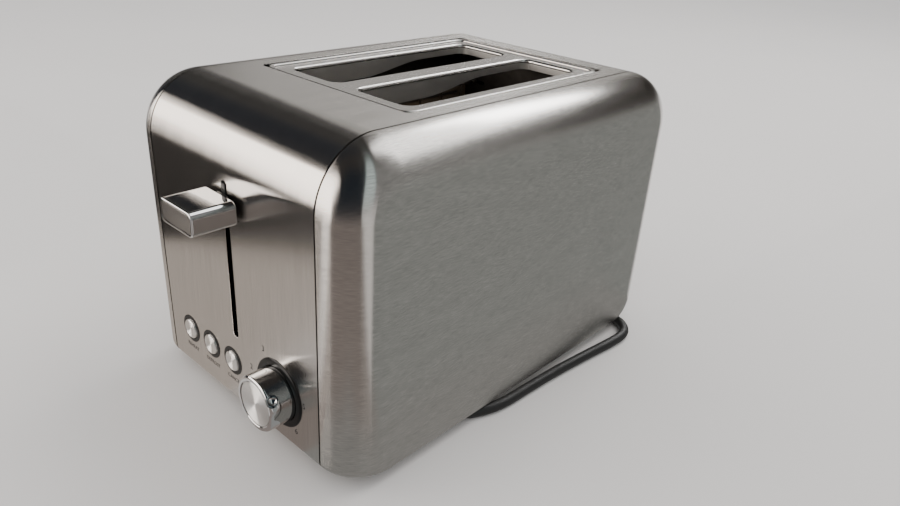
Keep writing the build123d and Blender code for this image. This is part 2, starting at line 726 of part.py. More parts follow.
# Lift spring round the rod, from the base to the carriage
spring_low = base_top + spring_wire / 2
spring_high = bushing_low - 0.3 - spring_wire / 2
spring_pitch = (spring_high - spring_low) / spring_turns
print("lift spring: gap between turns", round(spring_pitch - spring_wire, 2), "mm")
with BuildPart() as lift_spring:
    with BuildLine(Plane(origin=(rod_x, rod_y, spring_low))) as coil:
        Helix(pitch=spring_pitch, height=spring_high - spring_low, radius=spring_radius)
    with BuildSketch(Plane(origin=coil.line @ 0, z_dir=coil.line % 0)):
        Circle(spring_wire / 2)
    sweep(path=coil.line, is_frenet=True)
lift_spring.part.label = "lift_spring"
export_step(lift_spring.part, "parts/lift_spring.step")

# Holding magnet and the armature that it grips when the lever is down
magnet_x = -22.5
magnet_y = carriage_front - 12.0
magnet_half = 13.5
yoke_high = bushing_low - lever_travel - 0.4
with BuildPart() as magnet_yoke:
    block((magnet_x - magnet_half, magnet_x + magnet_half), (magnet_y - 7, magnet_y + 7), (base_top, base_top + 3))
    for sx in (-1, 1):
        block((magnet_x + sx * (magnet_half - 3), magnet_x + sx * magnet_half), (magnet_y - 7, magnet_y + 7),
              (base_top, yoke_high))
    rod((magnet_x, magnet_y, base_top), (magnet_x, magnet_y, yoke_high), 4.0)
magnet_yoke.part.label = "magnet_yoke"
export_step(magnet_yoke.part, "parts/magnet_yoke.step")

with BuildPart() as magnet_coil:
    rod((magnet_x, magnet_y, base_top + 3), (magnet_x, magnet_y, yoke_high - 2), 9.3)
    rod((magnet_x, magnet_y, base_top + 2), (magnet_x, magnet_y, yoke_high), 4.0 + fit_clear, Mode.SUBTRACT)
magnet_coil.part.label = "magnet_coil"
export_step(magnet_coil.part, "parts/magnet_coil.step")

with BuildPart() as armature:
    block((magnet_x - magnet_half, magnet_x + magnet_half), (magnet_y - 7, carriage_front),
          (bushing_low, bushing_low + 2.5))
armature.part.label = "armature"
export_step(armature.part, "parts/armature.step")

# Control board behind the front, with its switches, potentiometer and posts
board_y = front_y + board_back
board_x = (-64.0, 58.0)
board_z = (29.5, 51.5)
post_places = [(-58.0, 33.0), (-58.0, 46.5), (53.0, 33.0), (53.0, 46.5)]
with BuildPart() as control_board:
    block(board_x, (board_y, board_y + board_thickness), board_z)
    back = board_y + board_thickness
    block((12, 28), (back, back + 13), (34, 49))
    block((-46, -30), (back, back + 11), (31, 45))
    block((-16, -6), (back, back + 2), (33, 43))
    rod((36, back, 40), (36, back + 12, 40), 5.0)
    for x, z in post_places:
        rod((x, board_y - 1, z), (x, back + 1, z), screw_hole, Mode.SUBTRACT)
control_board.part.label = "control_board"
export_step(control_board.part, "parts/control_board.step")

with BuildPart() as board_posts:
    for x in (-58.0, 53.0):
        block((x - 4, x + 4), (back, back + 11), (base_top, 50.5))
    for x, z in post_places:
        rod((x, back - 1, z), (x, board_y + screw_length + 0.5, z), screw_radius + fit_clear, Mode.SUBTRACT)
board_posts.part.label = "board_posts"
export_step(board_posts.part, "parts/board_posts.step")

with BuildPart() as chassis_screws:
    for x, y in chassis_screws_xy:
        screw((x, y, base_top + plate_thickness), (0, 0, -1))
    for x, z in post_places:
        screw((x, board_y, z), (0, 1, 0))
chassis_screws.part.label = "chassis_screws"
export_step(chassis_screws.part, "parts/chassis_screws.step")

switch_front = board_y - 4.0
stem_radius = 2.0
with BuildPart() as push_switches:
    for x, z in button_places:
        block((x - 5, x + 5), (switch_front, board_y), (z - 5, z + 5))
        rod((x, switch_front - 1, z), (x, board_y - 0.8, z), stem_radius + 0.3, Mode.SUBTRACT)
push_switches.part.label = "push_switches"
export_step(push_switches.part, "parts/push_switches.step")

with BuildPart() as potentiometer:
    rod((knob_x, board_y - 7, knob_z), (knob_x, board_y, knob_z), 8.5)
    rod((knob_x, board_y - 8, knob_z), (knob_x, board_y - 2, knob_z), shaft_radius + fit_clear, Mode.SUBTRACT)
potentiometer.part.label = "potentiometer"
export_step(potentiometer.part, "parts/potentiometer.step")

# Buttons and their bezels
bezel_front = front_y - bezel_proud
bezel_back = front_y + 3.2
with BuildPart() as button_bezels:
    for x, z in button_places:
        rod((x, bezel_front, z), (x, front_y, z), bezel_radius)
        rod((x, front_y, z), (x, bezel_back, z), bezel_tube)
        rod((x, bezel_front - 1, z), (x, bezel_back + 1, z), button_radius + turning_clear - 0.1, Mode.SUBTRACT)
button_bezels.part.label = "button_bezels"
export_step(button_bezels.part, "parts/button_bezels.step")

for name, (x, z) in zip(("button_reheat", "button_defrost", "button_cancel"), button_places):
    with BuildPart() as button:
        rod((x, front_y - button_proud, z), (x, bezel_back + 1.7, z), button_radius - button_step)
        rod((x, front_y - button_proud + button_step, z), (x, bezel_back - 0.4, z), button_radius)
        rod((x, bezel_back + 0.4, z), (x, bezel_back + 1.7, z), bezel_tube - 0.3)
        rod((x, bezel_back + 1.7, z), (x, switch_front + 1.0, z), stem_radius)
    button.part.label = name
    export_step(button.part, f"parts/{name}.step")

# Browning knob, its face, bezel and shaft
knob_back = front_y - 0.4
knob_front = front_y - knob_reach
face_recess = 0.6
notch_place = (knob_x + (knob_radius + 1.0) * math.sin(math.radians(pointer_angle)),
               knob_z + (knob_radius + 1.0) * math.cos(math.radians(pointer_angle)))
with BuildPart() as knob_bezel:
    rod((knob_x, front_y - knob_bezel_proud, knob_z), (knob_x, front_y, knob_z), knob_bezel_radius)
    chamfer(knob_bezel.edges().filter_by(GeomType.CIRCLE).group_by(Axis.Y)[0], knob_bezel_proud / 2)
    rod((knob_x, front_y, knob_z), (knob_x, front_y + skin + 0.2, knob_z), knob_tube)
    rod((knob_x, front_y - 4, knob_z), (knob_x, front_y + 4, knob_z), knob_radius + turning_clear, Mode.SUBTRACT)
knob_bezel.part.label = "knob_bezel"
export_step(knob_bezel.part, "parts/knob_bezel.step")

with BuildPart() as browning_knob:
    rod((knob_x, knob_front, knob_z), (knob_x, knob_back, knob_z), knob_radius)
    chamfer(browning_knob.edges().filter_by(GeomType.CIRCLE).group_by(Axis.Y)[0], 0.8)
    rod((knob_x, knob_front - 1, knob_z), (knob_x, knob_front + face_recess, knob_z), knob_face_radius + 0.2,
        Mode.SUBTRACT)
    rod((knob_x, knob_front + 5, knob_z), (knob_x, knob_back + 1, knob_z), shaft_radius + fit_clear, Mode.SUBTRACT)
    rod((notch_place[0], knob_front - 1, notch_place[1]),
        (notch_place[0], knob_front + notch_depth, notch_place[1]), notch_radius, Mode.SUBTRACT)
    with Locations((notch_place[0], knob_front + notch_depth, notch_place[1])):
        Sphere(notch_radius, mode=Mode.SUBTRACT)
browning_knob.part.label = "browning_knob"
export_step(browning_knob.part, "parts/browning_knob.step")

with BuildPart() as knob_face:
    rod((knob_x, knob_front - 0.1, knob_z), (knob_x, knob_front + face_recess, knob_z), knob_face_radius)
knob_face.part.label = "knob_face"
export_step(knob_face.part, "parts/knob_face.step")

with BuildPart() as knob_shaft:
    rod((knob_x, knob_front + 5 + fit_clear, knob_z), (knob_x, board_y - 2.3, knob_z), shaft_radius)
knob_shaft.part.label = "knob_shaft"
export_step(knob_shaft.part, "parts/knob_shaft.step")

# Mains inlet: terminal block, strain relief, cord and plug
block_y = rear_y - 18.0
with BuildPart() as terminal_block:
    block((-80, -58), (block_y, block_y + 12), (base_top, base_top + 12))
    for n in range(3):
        x = -76 + n * 7.0
        rod((x, block_y + 6, base_top + 8), (x, block_y + 6, base_top + 13), 2.2, Mode.SUBTRACT)
terminal_block.part.label = "terminal_block"
export_step(terminal_block.part, "parts/terminal_block.step")

relief_y = mid_y + gland_y
cord_start_x = gland_x + relief_length
relief_ribs = 5
with BuildPart() as strain_relief:
    rod((gland_x - gland_wall - 2.4, relief_y, gland_z), (gland_x - gland_wall, relief_y, gland_z), 5.3)
    rod((gland_x - gland_wall, relief_y, gland_z), (gland_x, relief_y, gland_z), relief_neck)
    rod((gland_x, relief_y, gland_z), (gland_x + 2.5, relief_y, gland_z), 5.8)
    with Locations(Plane(origin=(gland_x + 2.5, relief_y, gland_z), z_dir=(1, 0, 0))):
        Cone(5.2, 4.1, relief_length - 2.5, align=(Align.CENTER, Align.CENTER, Align.MIN))
    for n in range(relief_ribs):
        x = gland_x + 6 + n * 4.0
        groove = 4.9 - n * 0.17
        with Locations(Plane(origin=(x, relief_y, gland_z), z_dir=(1, 0, 0))):
            Cylinder(7, 1.4, align=(Align.CENTER, Align.CENTER, Align.MIN), mode=Mode.SUBTRACT)
        rod((x - 0.1, relief_y, gland_z), (x + 1.5, relief_y, gland_z), groove - 0.7)
strain_relief.part.label = "strain_relief"
export_step(strain_relief.part, "parts/strain_relief.step")

# Corners of the cord's route, as x, y from the middle of the body, and height
cord_route = [
    (cord_start_x, gland_y, gland_z), (-10.0, gland_y, gland_z), (11.0, gland_y + 0.4, 9.2),
    (32.0, gland_y + 1.6, cord_floor), (57.0, gland_y + 3.8, cord_floor), (79.0, gland_y + 6.2, cord_floor),
    (92.0, gland_y + 6.4, cord_floor), (101.0, gland_y + 1.1, cord_floor), (105.7, gland_y - 8.4, cord_floor),
    (104.8, gland_y - 25.2, cord_floor), (101.8, 60.0, cord_floor), (98.8, 28.0, cord_floor),
    (97.5, -2.0, cord_floor), (96.8, -25.0, cord_floor), (89.5, -44.0, cord_floor), (74.5, -58.5, cord_floor),
    (54.0, -68.5, cord_floor), (28.0, -75.5, cord_floor), (-2.0, -77.5, cord_floor), (-30.0, -73.5, cord_floor),
    (-52.0, -60.5, cord_floor), (-65.5, -40.0, cord_floor), (-70.0, -14.0, cord_floor), (-69.5, 16.0, cord_floor),
    (-62.5, 42.0, cord_floor), (-47.0, 63.0, cord_floor), (-24.0, 75.0, cord_floor), (4.0, 78.5, cord_floor),
    (31.0, 72.5, cord_floor), (51.0, 57.0, cord_floor), (62.0, 34.0, cord_floor), (64.5, 7.0, cord_floor),
    (60.0, -19.0, cord_floor), (48.0, -41.0, cord_floor), (28.5, -55.5, cord_floor), (6.0, -59.5, 4.0),
    (-13.0, -49.5, 6.8), (plug_x, -31.5, plug_z), (plug_x, plug_y, plug_z)]

cord_points = [Vector(x, mid_y + y, z) for x, y, z in cord_route]


def cord_radii(points):
    """As large an arc as its two runs allow, for each corner of the route."""
    radii = []
    for before, here, after in zip(points, points[1:], points[2:]):
        into, out = here - before, after - here
        half_turn = math.radians(into.get_angle(out)) / 2
        radii.append(0.45 * min(into.length, out.length) / math.tan(half_turn))
    return radii


radii = cord_radii(cord_points)
with BuildPart() as power_cord:
    with BuildLine() as path:
        FilletPolyline(*cord_points, radius=radii)
    with BuildSketch(Plane(origin=path.line @ 0, z_dir=path.line % 0)):
        Circle(cord_diameter / 2)
    sweep(path=path.line)
power_cord.part.label = "power_cord"
export_step(power_cord.part, "parts/power_cord.step")
cord_length = path.wires()[0].length
print("cord length", round(cord_length, 1), "mm, volume by section and length",
      round(cord_length * math.pi * cord_diameter ** 2 / 4), "solid", round(power_cord.part.volume))
print("cord radii", [round(r) for r in radii])

plug_body_start = mid_y + plug_y + 18
plug_body_end = plug_body_start + 32
blade_x = plug_x - 4.0
earth_x = blade_x + 11.9
with BuildPart() as plug_body:
    block((plug_x - 13, plug_x + 13), (plug_body_start, plug_body_end), (0.3, 2 * plug_z - 0.3))
    fillet(plug_body.edges().filter_by(Axis.Y), 5.0)
    fillet(plug_body.edges().group_by(Axis.Y)[0], 2.5)
    with Locations(Plane(origin=(plug_x, mid_y + plug_y, plug_z), z_dir=(0, 1, 0))):
        Cone(4.1, 6.6, plug_body_start - mid_y - plug_y + 1, align=(Align.CENTER, Align.CENTER, Align.MIN))
plug_body.part.label = "plug_body"
export_step(plug_body.part, "parts/plug_body.step")

with BuildPart() as plug_pins:
    for z in (plug_z - 6.35, plug_z + 6.35):
        block((blade_x - 3.15, blade_x + 3.15), (plug_body_end, plug_body_end + 16), (z - 0.75, z + 0.75))
    rod((earth_x, plug_body_end, plug_z), (earth_x, plug_body_end + 18, plug_z), 2.4)
plug_pins.part.label = "plug_pins"
export_step(plug_pins.part, "parts/plug_pins.step")

print("rear face at", round(rear_y, 2), "front face at", round(front_y, 2), "middle at", round(mid_y, 2))
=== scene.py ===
"""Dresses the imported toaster: finishes, smooth panels, cord, small parts, floor, light and camera."""
import math

import bmesh
import bpy
from mathutils import Matrix, Vector, noise
from mathutils.geometry import delaunay_2d_cdt


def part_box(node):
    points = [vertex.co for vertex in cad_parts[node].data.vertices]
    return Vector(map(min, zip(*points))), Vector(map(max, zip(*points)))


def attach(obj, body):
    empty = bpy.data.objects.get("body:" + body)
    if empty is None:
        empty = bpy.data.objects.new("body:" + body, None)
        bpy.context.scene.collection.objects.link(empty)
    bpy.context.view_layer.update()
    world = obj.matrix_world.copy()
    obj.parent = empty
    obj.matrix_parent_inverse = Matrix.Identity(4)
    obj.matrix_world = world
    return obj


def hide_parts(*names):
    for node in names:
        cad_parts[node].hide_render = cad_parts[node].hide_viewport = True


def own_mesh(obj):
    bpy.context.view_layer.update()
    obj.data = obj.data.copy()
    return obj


bl_info = {
    "name": "Two-slot toaster",
    "version": (1, 0, 0),
    "blender": (4, 5, 0),
    "location": "View3D > Sidebar > Toaster",
    "description": "Builds the finished surfaces of a brushed steel toaster around its packed frame",
    "category": "Add Mesh",
}

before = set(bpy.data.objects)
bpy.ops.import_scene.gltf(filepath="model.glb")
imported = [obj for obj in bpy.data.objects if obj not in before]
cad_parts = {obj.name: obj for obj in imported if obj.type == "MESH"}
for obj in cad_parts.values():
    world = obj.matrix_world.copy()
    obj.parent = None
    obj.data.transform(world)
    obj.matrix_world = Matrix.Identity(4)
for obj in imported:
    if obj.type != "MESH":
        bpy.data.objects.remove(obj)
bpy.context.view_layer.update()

MM = 0.001
# Points closer than these are one point
MERGE = 0.002 * MM
FINE_MERGE = 0.001 * MM
# Smallest length in metres, or turn in radians, that counts as more than none
TINY = 1e-6
# Edges sharper than this angle in degrees stay sharp
SHARP = 35.0
# A face with more corners than this is a cap that a turned ring doesn't need
CAP_CORNERS = 8


def corners(node):
    """Lowest and highest corner of a CAD node, as vectors."""
    low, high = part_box(node)
    return Vector(low), Vector(high)


wrap_low, wrap_high = corners("wrap_panel")
side_high = corners("right_side_panel")[1]
trim_low, trim_high = corners("trim_plate")
middle = (wrap_low.y + wrap_high.y) / 2
trim_middle = (trim_low.y + trim_high.y) / 2
front = wrap_low.y
back = wrap_high.y


def button_row():
    """Middles of the three buttons in X, their height, and the radius of their rings."""
    low, high = corners("button_bezels")
    reach = (high.z - low.z) / 2
    return [low.x + reach, (low.x + high.x) / 2, high.x - reach], (low.z + high.z) / 2, reach


def dial_circle():
    """Middle of the dial's ring in X and Z, and its radius."""
    low, high = corners("knob_bezel")
    return (low.x + high.x) / 2, (low.z + high.z) / 2, (high.x - low.x) / 2


def trim_outline(grow):
    """Width and length of the trim plate that the wrap leaves open, grown on each side."""
    hidden = 6 * MM
    return trim_high.x * 2 - hidden + 2 * grow, trim_high.y - trim_low.y - hidden + 2 * grow


# What a user would change


def length(name, description, default):
    """A size in metres with its name in the panel."""
    return bpy.props.FloatProperty(name=name, description=description, default=default, unit="LENGTH",
                                   precision=5, min=0.0)


def colour(name, description, default):
    """An sRGB colour as a hex number in text."""
    return bpy.props.StringProperty(name=name, description=description, default=default)


class BodySizes(bpy.types.PropertyGroup):
    """Sizes of the sheet metal skin."""

    sheet: length("Sheet", "Thickness of the steel sheet", 0.8 * MM)
    seam_gap: length("Seam gap", "Open seam between wrap and side panel", 0.6 * MM)
    seam_round: length("Seam edge", "How far the rounded sheet edges stand back from the seam", 0.25 * MM)
    top_bend: length("Top bend", "Radius of the bend over front and back", 34.2 * MM)
    front_bend: length("Front bend", "Radius of the bend under the front", 6.0 * MM)
    bottom_bend: length("Back bend", "Radius of the bend under the back", 13.0 * MM)
    lip: length("Lip", "Length of the sheet that turns under the body", 8.0 * MM)
    flange: length("Flange", "Width of the side panel's inward flange", 7.4 * MM)
    soft_edge: length("Soft edge", "Rounding of the punched edges", 0.22 * MM)


class TrimSizes(bpy.types.PropertyGroup):
    """Sizes of the top trim and its slots."""

    corner: length("Corner", "Radius of the trim plate's corners", 8.0 * MM)
    gap: length("Gap", "Gap between the trim plate and the wrap", 0.5 * MM)
    recess: length("Recess", "Depth of the plate's field below its rim", 1.0 * MM)
    rim: length("Rim", "Width of the raised rim", 2.0 * MM)
    edge_gap: length("Edge gap", "How far the rim stands back from the plate's own edge", 0.35 * MM)
    bend: length("Slot bend", "Radius of the plate's edge where it turns down into a slot", 1.7 * MM)
    slot_width: length("Slot width", "Width of a bread slot", 41.5 * MM)
    slot_length: length("Slot length", "Length of a bread slot", 147.0 * MM)
    slot_corner: length("Slot corner", "Radius of a slot's corners", 6.5 * MM)
    slot_bar: length("Bar", "Width of the bar between the slots", 15.0 * MM)
    wave: length("Wave", "Height of the dents in the thin lining", 0.35 * MM)
    lining_front: length("Lining at the front", "Depth of the lining at the lever's end", 10.5 * MM)
    lining_back: length("Lining at the back", "Depth of the lining at the far end", 4.0 * MM)


class ControlSizes(bpy.types.PropertyGroup):
    """Sizes of the lever slot, buttons and dial."""

    slot_width: length("Lever slot", "Width of the slot that the lever runs in", 4.8 * MM)
    slot_low: length("Lever slot bottom", "Height of its lower end", 55.0 * MM)
    slot_high: length("Lever slot top", "Height of its upper end", 146.0 * MM)
    dial_step: bpy.props.FloatProperty(name="Dial step", description="Angle between two figures",
                                       default=math.radians(55), unit="ROTATION")
    dial_pointer: bpy.props.FloatProperty(name="Pointer", description="Where the dial's notch points at rest",
                                          default=math.radians(58), unit="ROTATION")
    figure_circle: length("Figure circle", "Radius of the circle of figures", 23.5 * MM)
    figure_shift: length("Figure shift", "How far its middle lies left of the dial's", 1.8 * MM)
    figure_height: length("Figure height", "Height of the printed figures", 3.6 * MM)
    word_height: length("Word height", "Height of the printed words", 2.5 * MM)
    word_drop: length("Word drop", "From a button's middle down to its word", 12.5 * MM)
    button_cap: length("Button", "Radius of a button's cap", 6.1 * MM)
    dial_face: length("Dial face", "Radius of the dial's spun face", 12.4 * MM)
    notch: length("Thumb notch", "Radius of the round notch in the dial", 3.4 * MM)
    slot_lip: length("Slot lip", "Depth of the lever slot's turned-in edge", 2.2 * MM)


class FinishColours(bpy.types.PropertyGroup):
    """Colours of the finishes, as sRGB hex."""

    steel: colour("Stainless", "Brushed stainless sheet", "C9C5C0")
    trim: colour("Trim", "Satin stainless trim", "CFCCC8")
    chrome: colour("Chrome", "Bright chromium plating", "D6D6D6")
    spun: colour("Spun metal", "Spun aluminium faces", "F2F1EE")
    plastic: colour("Black plastic", "Moulded black plastic", "131313")
    rubber: colour("Rubber", "Black rubber", "1E1D1C")
    sheath: colour("Sheath", "Cord sheath", "1C1B1A")
    ink: colour("Ink", "Printed words and figures", "262322")
    zinc: colour("Zinc", "Zinc-coated sheet", "B9BCBE")
    floor: colour("Floor", "Pale floor", "D9D5D1")


class StudioSettings(bpy.types.PropertyGroup):
    """Camera and light."""

    camera_place: bpy.props.FloatVectorProperty(name="Camera", description="Where the camera stands",
                                                default=(0.30559, -0.30402, 0.28004), unit="LENGTH")
    camera_yaw: bpy.props.FloatProperty(name="Yaw", description="Turn to the left of +Y", default=0.7250,
                                        unit="ROTATION")
    camera_pitch: bpy.props.FloatProperty(name="Pitch", description="Look down from level", default=0.46073,
                                          unit="ROTATION")
    camera_roll: bpy.props.FloatProperty(name="Roll", description="Lean of the camera", default=0.066984,
                                         unit="ROTATION")
    camera_lens: bpy.props.FloatProperty(name="Lens", default=29.246,
                                         description="Focal length in millimetres on a 36 mm frame")
    ambient: bpy.props.FloatProperty(name="Even light", description="Strength of the light from all round",
                                     default=1.2)
    overhead: bpy.props.FloatProperty(name="Overhead", description="Power of the overhead light in watts",
                                      default=22.0)
    window: bpy.props.FloatProperty(name="Window", description="Power of the light at the left in watts",
                                    default=7.5)


GROUPS = {"toaster_body": BodySizes, "toaster_trim": TrimSizes, "toaster_controls": ControlSizes,
          "toaster_colours": FinishColours, "toaster_studio": StudioSettings}


# Nodes and materials


def linear(code):
    """sRGB hex to linear colour."""
    parts = [int(code[n:n + 2], 16) / 255 for n in (0, 2, 4)]
    return [p / 12.92 if p <= 0.04045 else ((p + 0.055) / 1.055) ** 2.4 for p in parts] + [1.0]


def add(tree, kind, inputs=None, **settings):
    """Adds a node to a tree with its settings, values and links, and returns it."""
    node = tree.nodes.new(kind)
    for name, value in settings.items():
        setattr(node, name, value)
    for name, value in (inputs or {}).items():
        if isinstance(value, bpy.types.NodeSocket):
            tree.links.new(value, node.inputs[name])
        else:
            node.inputs[name].default_value = value
    return node


made = {}


def material(name, slot, build):
    """The material of that name, made by build on first use, with the record's slot that it belongs to."""
    if name not in made:
        finish = bpy.data.materials.new(name)
        finish.use_nodes = True
        tree = finish.node_tree
        tree.nodes.clear()
        shader = add(tree, "ShaderNodeBsdfPrincipled")
        build(tree, shader)
        out = add(tree, "ShaderNodeOutputMaterial")
        tree.links.new(shader.outputs[0], out.inputs["Surface"])
        finish["slot"] = slot
        made[name] = finish
    return made[name]


def mapped(tree, scale, uv=None):
    """Coordinates on the piece, stretched to a pattern's scale."""
    if uv:
        place = add(tree, "ShaderNodeUVMap", uv_map=uv).outputs[0]
    else:
        place = add(tree, "ShaderNodeTexCoord").outputs["Object"]
    return add(tree, "ShaderNodeMapping", {"Vector": place, "Scale": scale}).outputs[0]


def shade(code, share):
    """A hex colour made darker or lighter."""
    base = linear(code)
    return [min(c * share, 1.0) for c in base[:3]] + [1.0]


def mottled(tree, shader, pattern, code, dark, light):
    """Lets a pattern take the shader's colour from a dark to a light shade."""
    mix = add(tree, "ShaderNodeMix", {0: pattern, 6: shade(code, dark), 7: shade(code, light)},
              data_type="RGBA")
    tree.links.new(mix.outputs[2], shader.inputs["Base Color"])


def roughened(tree, shader, pattern, low, high):
    """Lets a pattern take the shader's roughness from low to high."""
    spread = add(tree, "ShaderNodeMapRange", {"Value": pattern, "From Min": 0.25, "From Max": 0.75,
                                              "To Min": low, "To Max": high})
    tree.links.new(spread.outputs[0], shader.inputs["Roughness"])


def embossed(tree, shader, pattern, strength, distance):
    """Lets a pattern raise and sink the surface."""
    bump = add(tree, "ShaderNodeBump", {"Height": pattern, "Strength": strength, "Distance": distance})
    tree.links.new(bump.outputs[0], shader.inputs["Normal"])


def along_grain(tree, shader, anisotropy):
    """Makes bare metal draw reflections out across V of the piece's grain map."""
    tangent = add(tree, "ShaderNodeTangent", direction_type="UV_MAP", uv_map="grain")
    tree.links.new(tangent.outputs[0], shader.inputs["Tangent"])
    shader.inputs["Metallic"].default_value = 1.0
    shader.inputs["Anisotropic"].default_value = anisotropy


def brushed(code, roughness, anisotropy, line, run, contrast, bump_strength):
    """Stainless sheet brushed along V of its grain map: fine lines that draw reflections out across them."""
    fine_share, band_share = 0.8, 0.2
    band_width, band_run = 14 * line, 5 * run

    def build(tree, shader):
        # Lines are drawn as coarse as they need to show, where real ones are a tenth of a millimetre
        lines = mapped(tree, (1 / line, 1 / run, 1.0), uv="grain")
        streaks = add(tree, "ShaderNodeTexNoise", {"Vector": lines, "Scale": 1.0, "Detail": 5.0,
                                                   "Roughness": 0.62})
        broad = mapped(tree, (1 / band_width, 1 / band_run, 1.0), uv="grain")
        bands = add(tree, "ShaderNodeTexNoise", {"Vector": broad, "Scale": 1.0, "Detail": 2.0})
        weight = add(tree, "ShaderNodeMath", {0: bands.outputs[0], 1: band_share}, operation="MULTIPLY")
        both = add(tree, "ShaderNodeMath", {0: streaks.outputs[0], 1: fine_share, 2: weight.outputs[0]},
                   operation="MULTIPLY_ADD").outputs[0]
        spread = add(tree, "ShaderNodeMapRange", {"Value": both, "From Min": 0.25, "From Max": 0.75})
        mottled(tree, shader, spread.outputs[0], code, 1 - contrast, 1 + 0.7 * contrast)
        roughened(tree, shader, both, roughness - 0.02, roughness + 0.03)
        embossed(tree, shader, streaks.outputs[0], bump_strength, 0.02 * MM)
        along_grain(tree, shader, anisotropy)

    return build


def spun(code, centre):
    """Aluminium face turned on a lathe: fine rings that throw a fan of light from the middle."""
    ring_width = 0.25 * MM

    def build(tree, shader):
        place = add(tree, "ShaderNodeTexCoord").outputs["Object"]
        moved = add(tree, "ShaderNodeMapping", {"Vector": place, "Location": [-c for c in centre]}).outputs[0]
        flat = add(tree, "ShaderNodeVectorMath", {0: moved, 1: (1.0, 0.0, 1.0)},
                   operation="MULTIPLY").outputs[0]
        radius = add(tree, "ShaderNodeVectorMath", {0: flat}, operation="LENGTH").outputs["Value"]
        rings = add(tree, "ShaderNodeMath", {0: radius, 1: 1 / ring_width}, operation="MULTIPLY").outputs[0]
        tone = add(tree, "ShaderNodeTexNoise", {"W": rings, "Scale": 1.0, "Detail": 3.0},
                   noise_dimensions="1D")
        mottled(tree, shader, tone.outputs[0], code, 0.86, 1.05)
        embossed(tree, shader, tone.outputs[0], 0.25, 0.02 * MM)
        along_grain(tree, shader, 1.0)
        shader.inputs["Roughness"].default_value = 0.4

    return build


def polished(code, roughness, ripple=0.0):
    """Bright metal with a clean reflection and the faintest orange peel or ripple."""
    # Clouds of 6 mm, and ripples of 9 to 22 mm as hand and press leave them
    clouds_per_metre = (160.0, 160.0, 160.0)
    waves_per_metre = (70.0, 45.0, 110.0)

    def build(tree, shader):
        cloud = add(tree, "ShaderNodeTexNoise", {"Vector": mapped(tree, clouds_per_metre), "Scale": 1.0,
                                                 "Detail": 3.0})
        mottled(tree, shader, cloud.outputs[0], code, 0.95, 1.02)
        roughened(tree, shader, cloud.outputs[0], roughness * 0.95, roughness * 1.08)
        if ripple:
            wave = add(tree, "ShaderNodeTexNoise", {"Vector": mapped(tree, waves_per_metre), "Scale": 1.0,
                                                    "Detail": 1.0})
            embossed(tree, shader, wave.outputs[0], ripple, 1.2 * MM)
        shader.inputs["Metallic"].default_value = 1.0

    return build


def moulded(code, roughness, grain=0.35 * MM, depth=0.12, ior=1.5):
    """Moulded ABS or rubber: a fine spark-eroded skin with a slightly uneven sheen."""
    # Clouds of 18 mm, where the melt flowed
    clouds_per_metre = (55.0, 55.0, 55.0)

    def build(tree, shader):
        skin = add(tree, "ShaderNodeTexNoise", {"Vector": mapped(tree, (1 / grain, 1 / grain, 1 / grain)),
                                                "Scale": 1.0, "Detail": 2.0})
        tone = add(tree, "ShaderNodeTexNoise", {"Vector": mapped(tree, clouds_per_metre), "Scale": 1.0,
                                                "Detail": 4.0})
        mottled(tree, shader, tone.outputs[0], code, 0.8, 1.35)
        roughened(tree, shader, tone.outputs[0], roughness - 0.06, roughness + 0.08)
        embossed(tree, shader, skin.outputs[0], depth, 0.05 * MM)
        shader.inputs["IOR"].default_value = ior

    return build


def rolled(code, roughness, metallic=1.0, cell=2.2 * MM, spread=0.14):
    """Zinc coat, drawn wire, mica or card: a quiet mottle at the size of its grains."""
    # Clouds of 11 mm over the grains
    clouds_per_metre = (90.0, 90.0, 90.0)

    def build(tree, shader):
        spangle = add(tree, "ShaderNodeTexVoronoi", {"Vector": mapped(tree, (1 / cell, 1 / cell, 1 / cell)),
                                                     "Scale": 1.0})
        mottle = add(tree, "ShaderNodeTexNoise", {"Vector": mapped(tree, clouds_per_metre), "Scale": 1.0,
                                                  "Detail": 5.0})
        grey = add(tree, "ShaderNodeSeparateColor", {"Color": spangle.outputs["Color"]}).outputs[0]
        both = add(tree, "ShaderNodeMath", {0: grey, 1: mottle.outputs[0]}, operation="ADD").outputs[0]
        half = add(tree, "ShaderNodeMath", {0: both, 1: 0.5}, operation="MULTIPLY").outputs[0]
        mottled(tree, shader, half, code, 1 - spread, 1 + spread)
        roughened(tree, shader, half, roughness - 0.08, roughness + 0.08)
        shader.inputs["Metallic"].default_value = metallic

    return build


def printed(code):
    """Pad-printed ink: matt, a little thin and uneven."""
    # Thin spots of 0.4 mm
    spots_per_metre = (2500.0, 2500.0, 2500.0)

    def build(tree, shader):
        worn = add(tree, "ShaderNodeTexNoise", {"Vector": mapped(tree, spots_per_metre), "Scale": 1.0,
                                                "Detail": 2.0})
        mottled(tree, shader, worn.outputs[0], code, 0.8, 1.5)
        shader.inputs["Roughness"].default_value = 0.6

    return build


